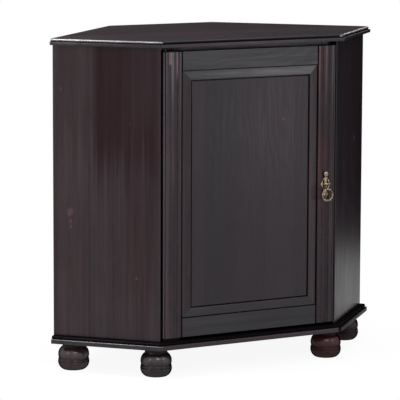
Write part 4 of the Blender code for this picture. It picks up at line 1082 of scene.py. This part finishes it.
def seen_directly(tree):
    """1 for rays from the camera and for those mirrored or let through, else 0."""
    rays = tree.nodes.new("ShaderNodeLightPath").outputs
    share = add_node(tree, "ShaderNodeMath", rays["Is Camera Ray"], rays["Is Glossy Ray"],
                     operation="MAXIMUM").outputs[0]
    return add_node(tree, "ShaderNodeMath", share, rays["Is Transmission Ray"],
                    operation="MAXIMUM").outputs[0]


def make_world():
    world = bpy.data.worlds.new("studio")
    bpy.context.scene.world = world
    tree = empty_tree(world)
    ambient = add_node(tree, "ShaderNodeBackground", WHITE, AMBIENT)
    white = add_node(tree, "ShaderNodeBackground", WHITE, 1.0)
    choose = add_node(tree, "ShaderNodeMixShader", seen_directly(tree), ambient.outputs[0],
                      white.outputs[0])
    add_node(tree, "ShaderNodeOutputWorld", choose.outputs[0])


def stage_piece(name, points, faces):
    """An object of one material, and the material's empty tree."""
    mesh = bpy.data.meshes.new(name)
    mesh.from_pydata(points, [], faces)
    piece = add_object(name, mesh)
    material = bpy.data.materials.new(name)
    mesh.materials.append(material)
    return piece, empty_tree(material)


def make_floor():
    """A pale floor that keeps the object's shadow and runs out to plain white."""
    half = FLOOR_HALF
    floor, tree = stage_piece("floor", [(-half, -half, 0), (half, -half, 0), (half, half, 0),
                                        (-half, half, 0)], [(0, 1, 2, 3)])
    floor.location.z = -FLOOR_DROP
    pale = add_node(tree, "ShaderNodeBsdfDiffuse", FLOOR_COLOUR)
    white = add_node(tree, "ShaderNodeEmission", WHITE, 1.0)
    place = tree.nodes.new("ShaderNodeTexCoord")
    reach = add_node(tree, "ShaderNodeVectorMath", place.outputs["Object"], operation="LENGTH")
    fade = add_node(tree, "ShaderNodeMapRange", reach.outputs["Value"], *FLOOR_FADE,
                    interpolation_type="SMOOTHSTEP")
    share = add_node(tree, "ShaderNodeMath", fade.outputs[0], seen_directly(tree),
                     operation="MULTIPLY")
    choose = add_node(tree, "ShaderNodeMixShader", share.outputs[0], pale.outputs[0],
                      white.outputs[0])
    add_node(tree, "ShaderNodeOutputMaterial", choose.outputs[0])


def make_flag():
    """A graded dark card behind and to the right, hidden from the camera and casting no shadow."""
    points, faces = [], []
    for step in range(FLAG_STEPS + 1):
        angle = math.radians(FLAG_START + FLAG_SWEEP * step / FLAG_STEPS)
        x, y = FLAG_RADIUS * math.sin(angle), FLAG_RADIUS * math.cos(angle)
        points += [(x, y, 0.0), (x, y, FLAG_HEIGHT)]
    for step in range(FLAG_STEPS):
        a = 2 * step
        faces.append((a, a + 2, a + 3, a + 1))
    flag, tree = stage_piece("flag", points, faces)
    place = tree.nodes.new("ShaderNodeTexCoord")
    height = add_node(tree, "ShaderNodeSeparateXYZ", place.outputs["Object"]).outputs["Z"]
    glows = [add_node(tree, "ShaderNodeMapRange", height, *glow,
                      interpolation_type="SMOOTHSTEP").outputs[0] for glow in FLAG_GLOW]
    total = add_node(tree, "ShaderNodeMath", *glows, operation="ADD")
    card = add_node(tree, "ShaderNodeEmission", WHITE, total.outputs[0])
    add_node(tree, "ShaderNodeOutputMaterial", card.outputs[0])
    flag.visible_camera = False
    flag.visible_shadow = False


def make_light(name, place, target, size, power):
    data = bpy.data.lights.new(name, "AREA")
    data.shape = "RECTANGLE"
    data.size, data.size_y = size
    data.energy = power
    light = add_object(name, data)
    toward = (Vector(target) - Vector(place)).to_track_quat("-Z", "Y").to_matrix().to_4x4()
    light.matrix_world = Matrix.Translation(place) @ toward


make_world()
make_floor()
make_flag()
for light in LIGHTS:
    make_light(*light)

bpy.context.scene.view_settings.view_transform = "Standard"
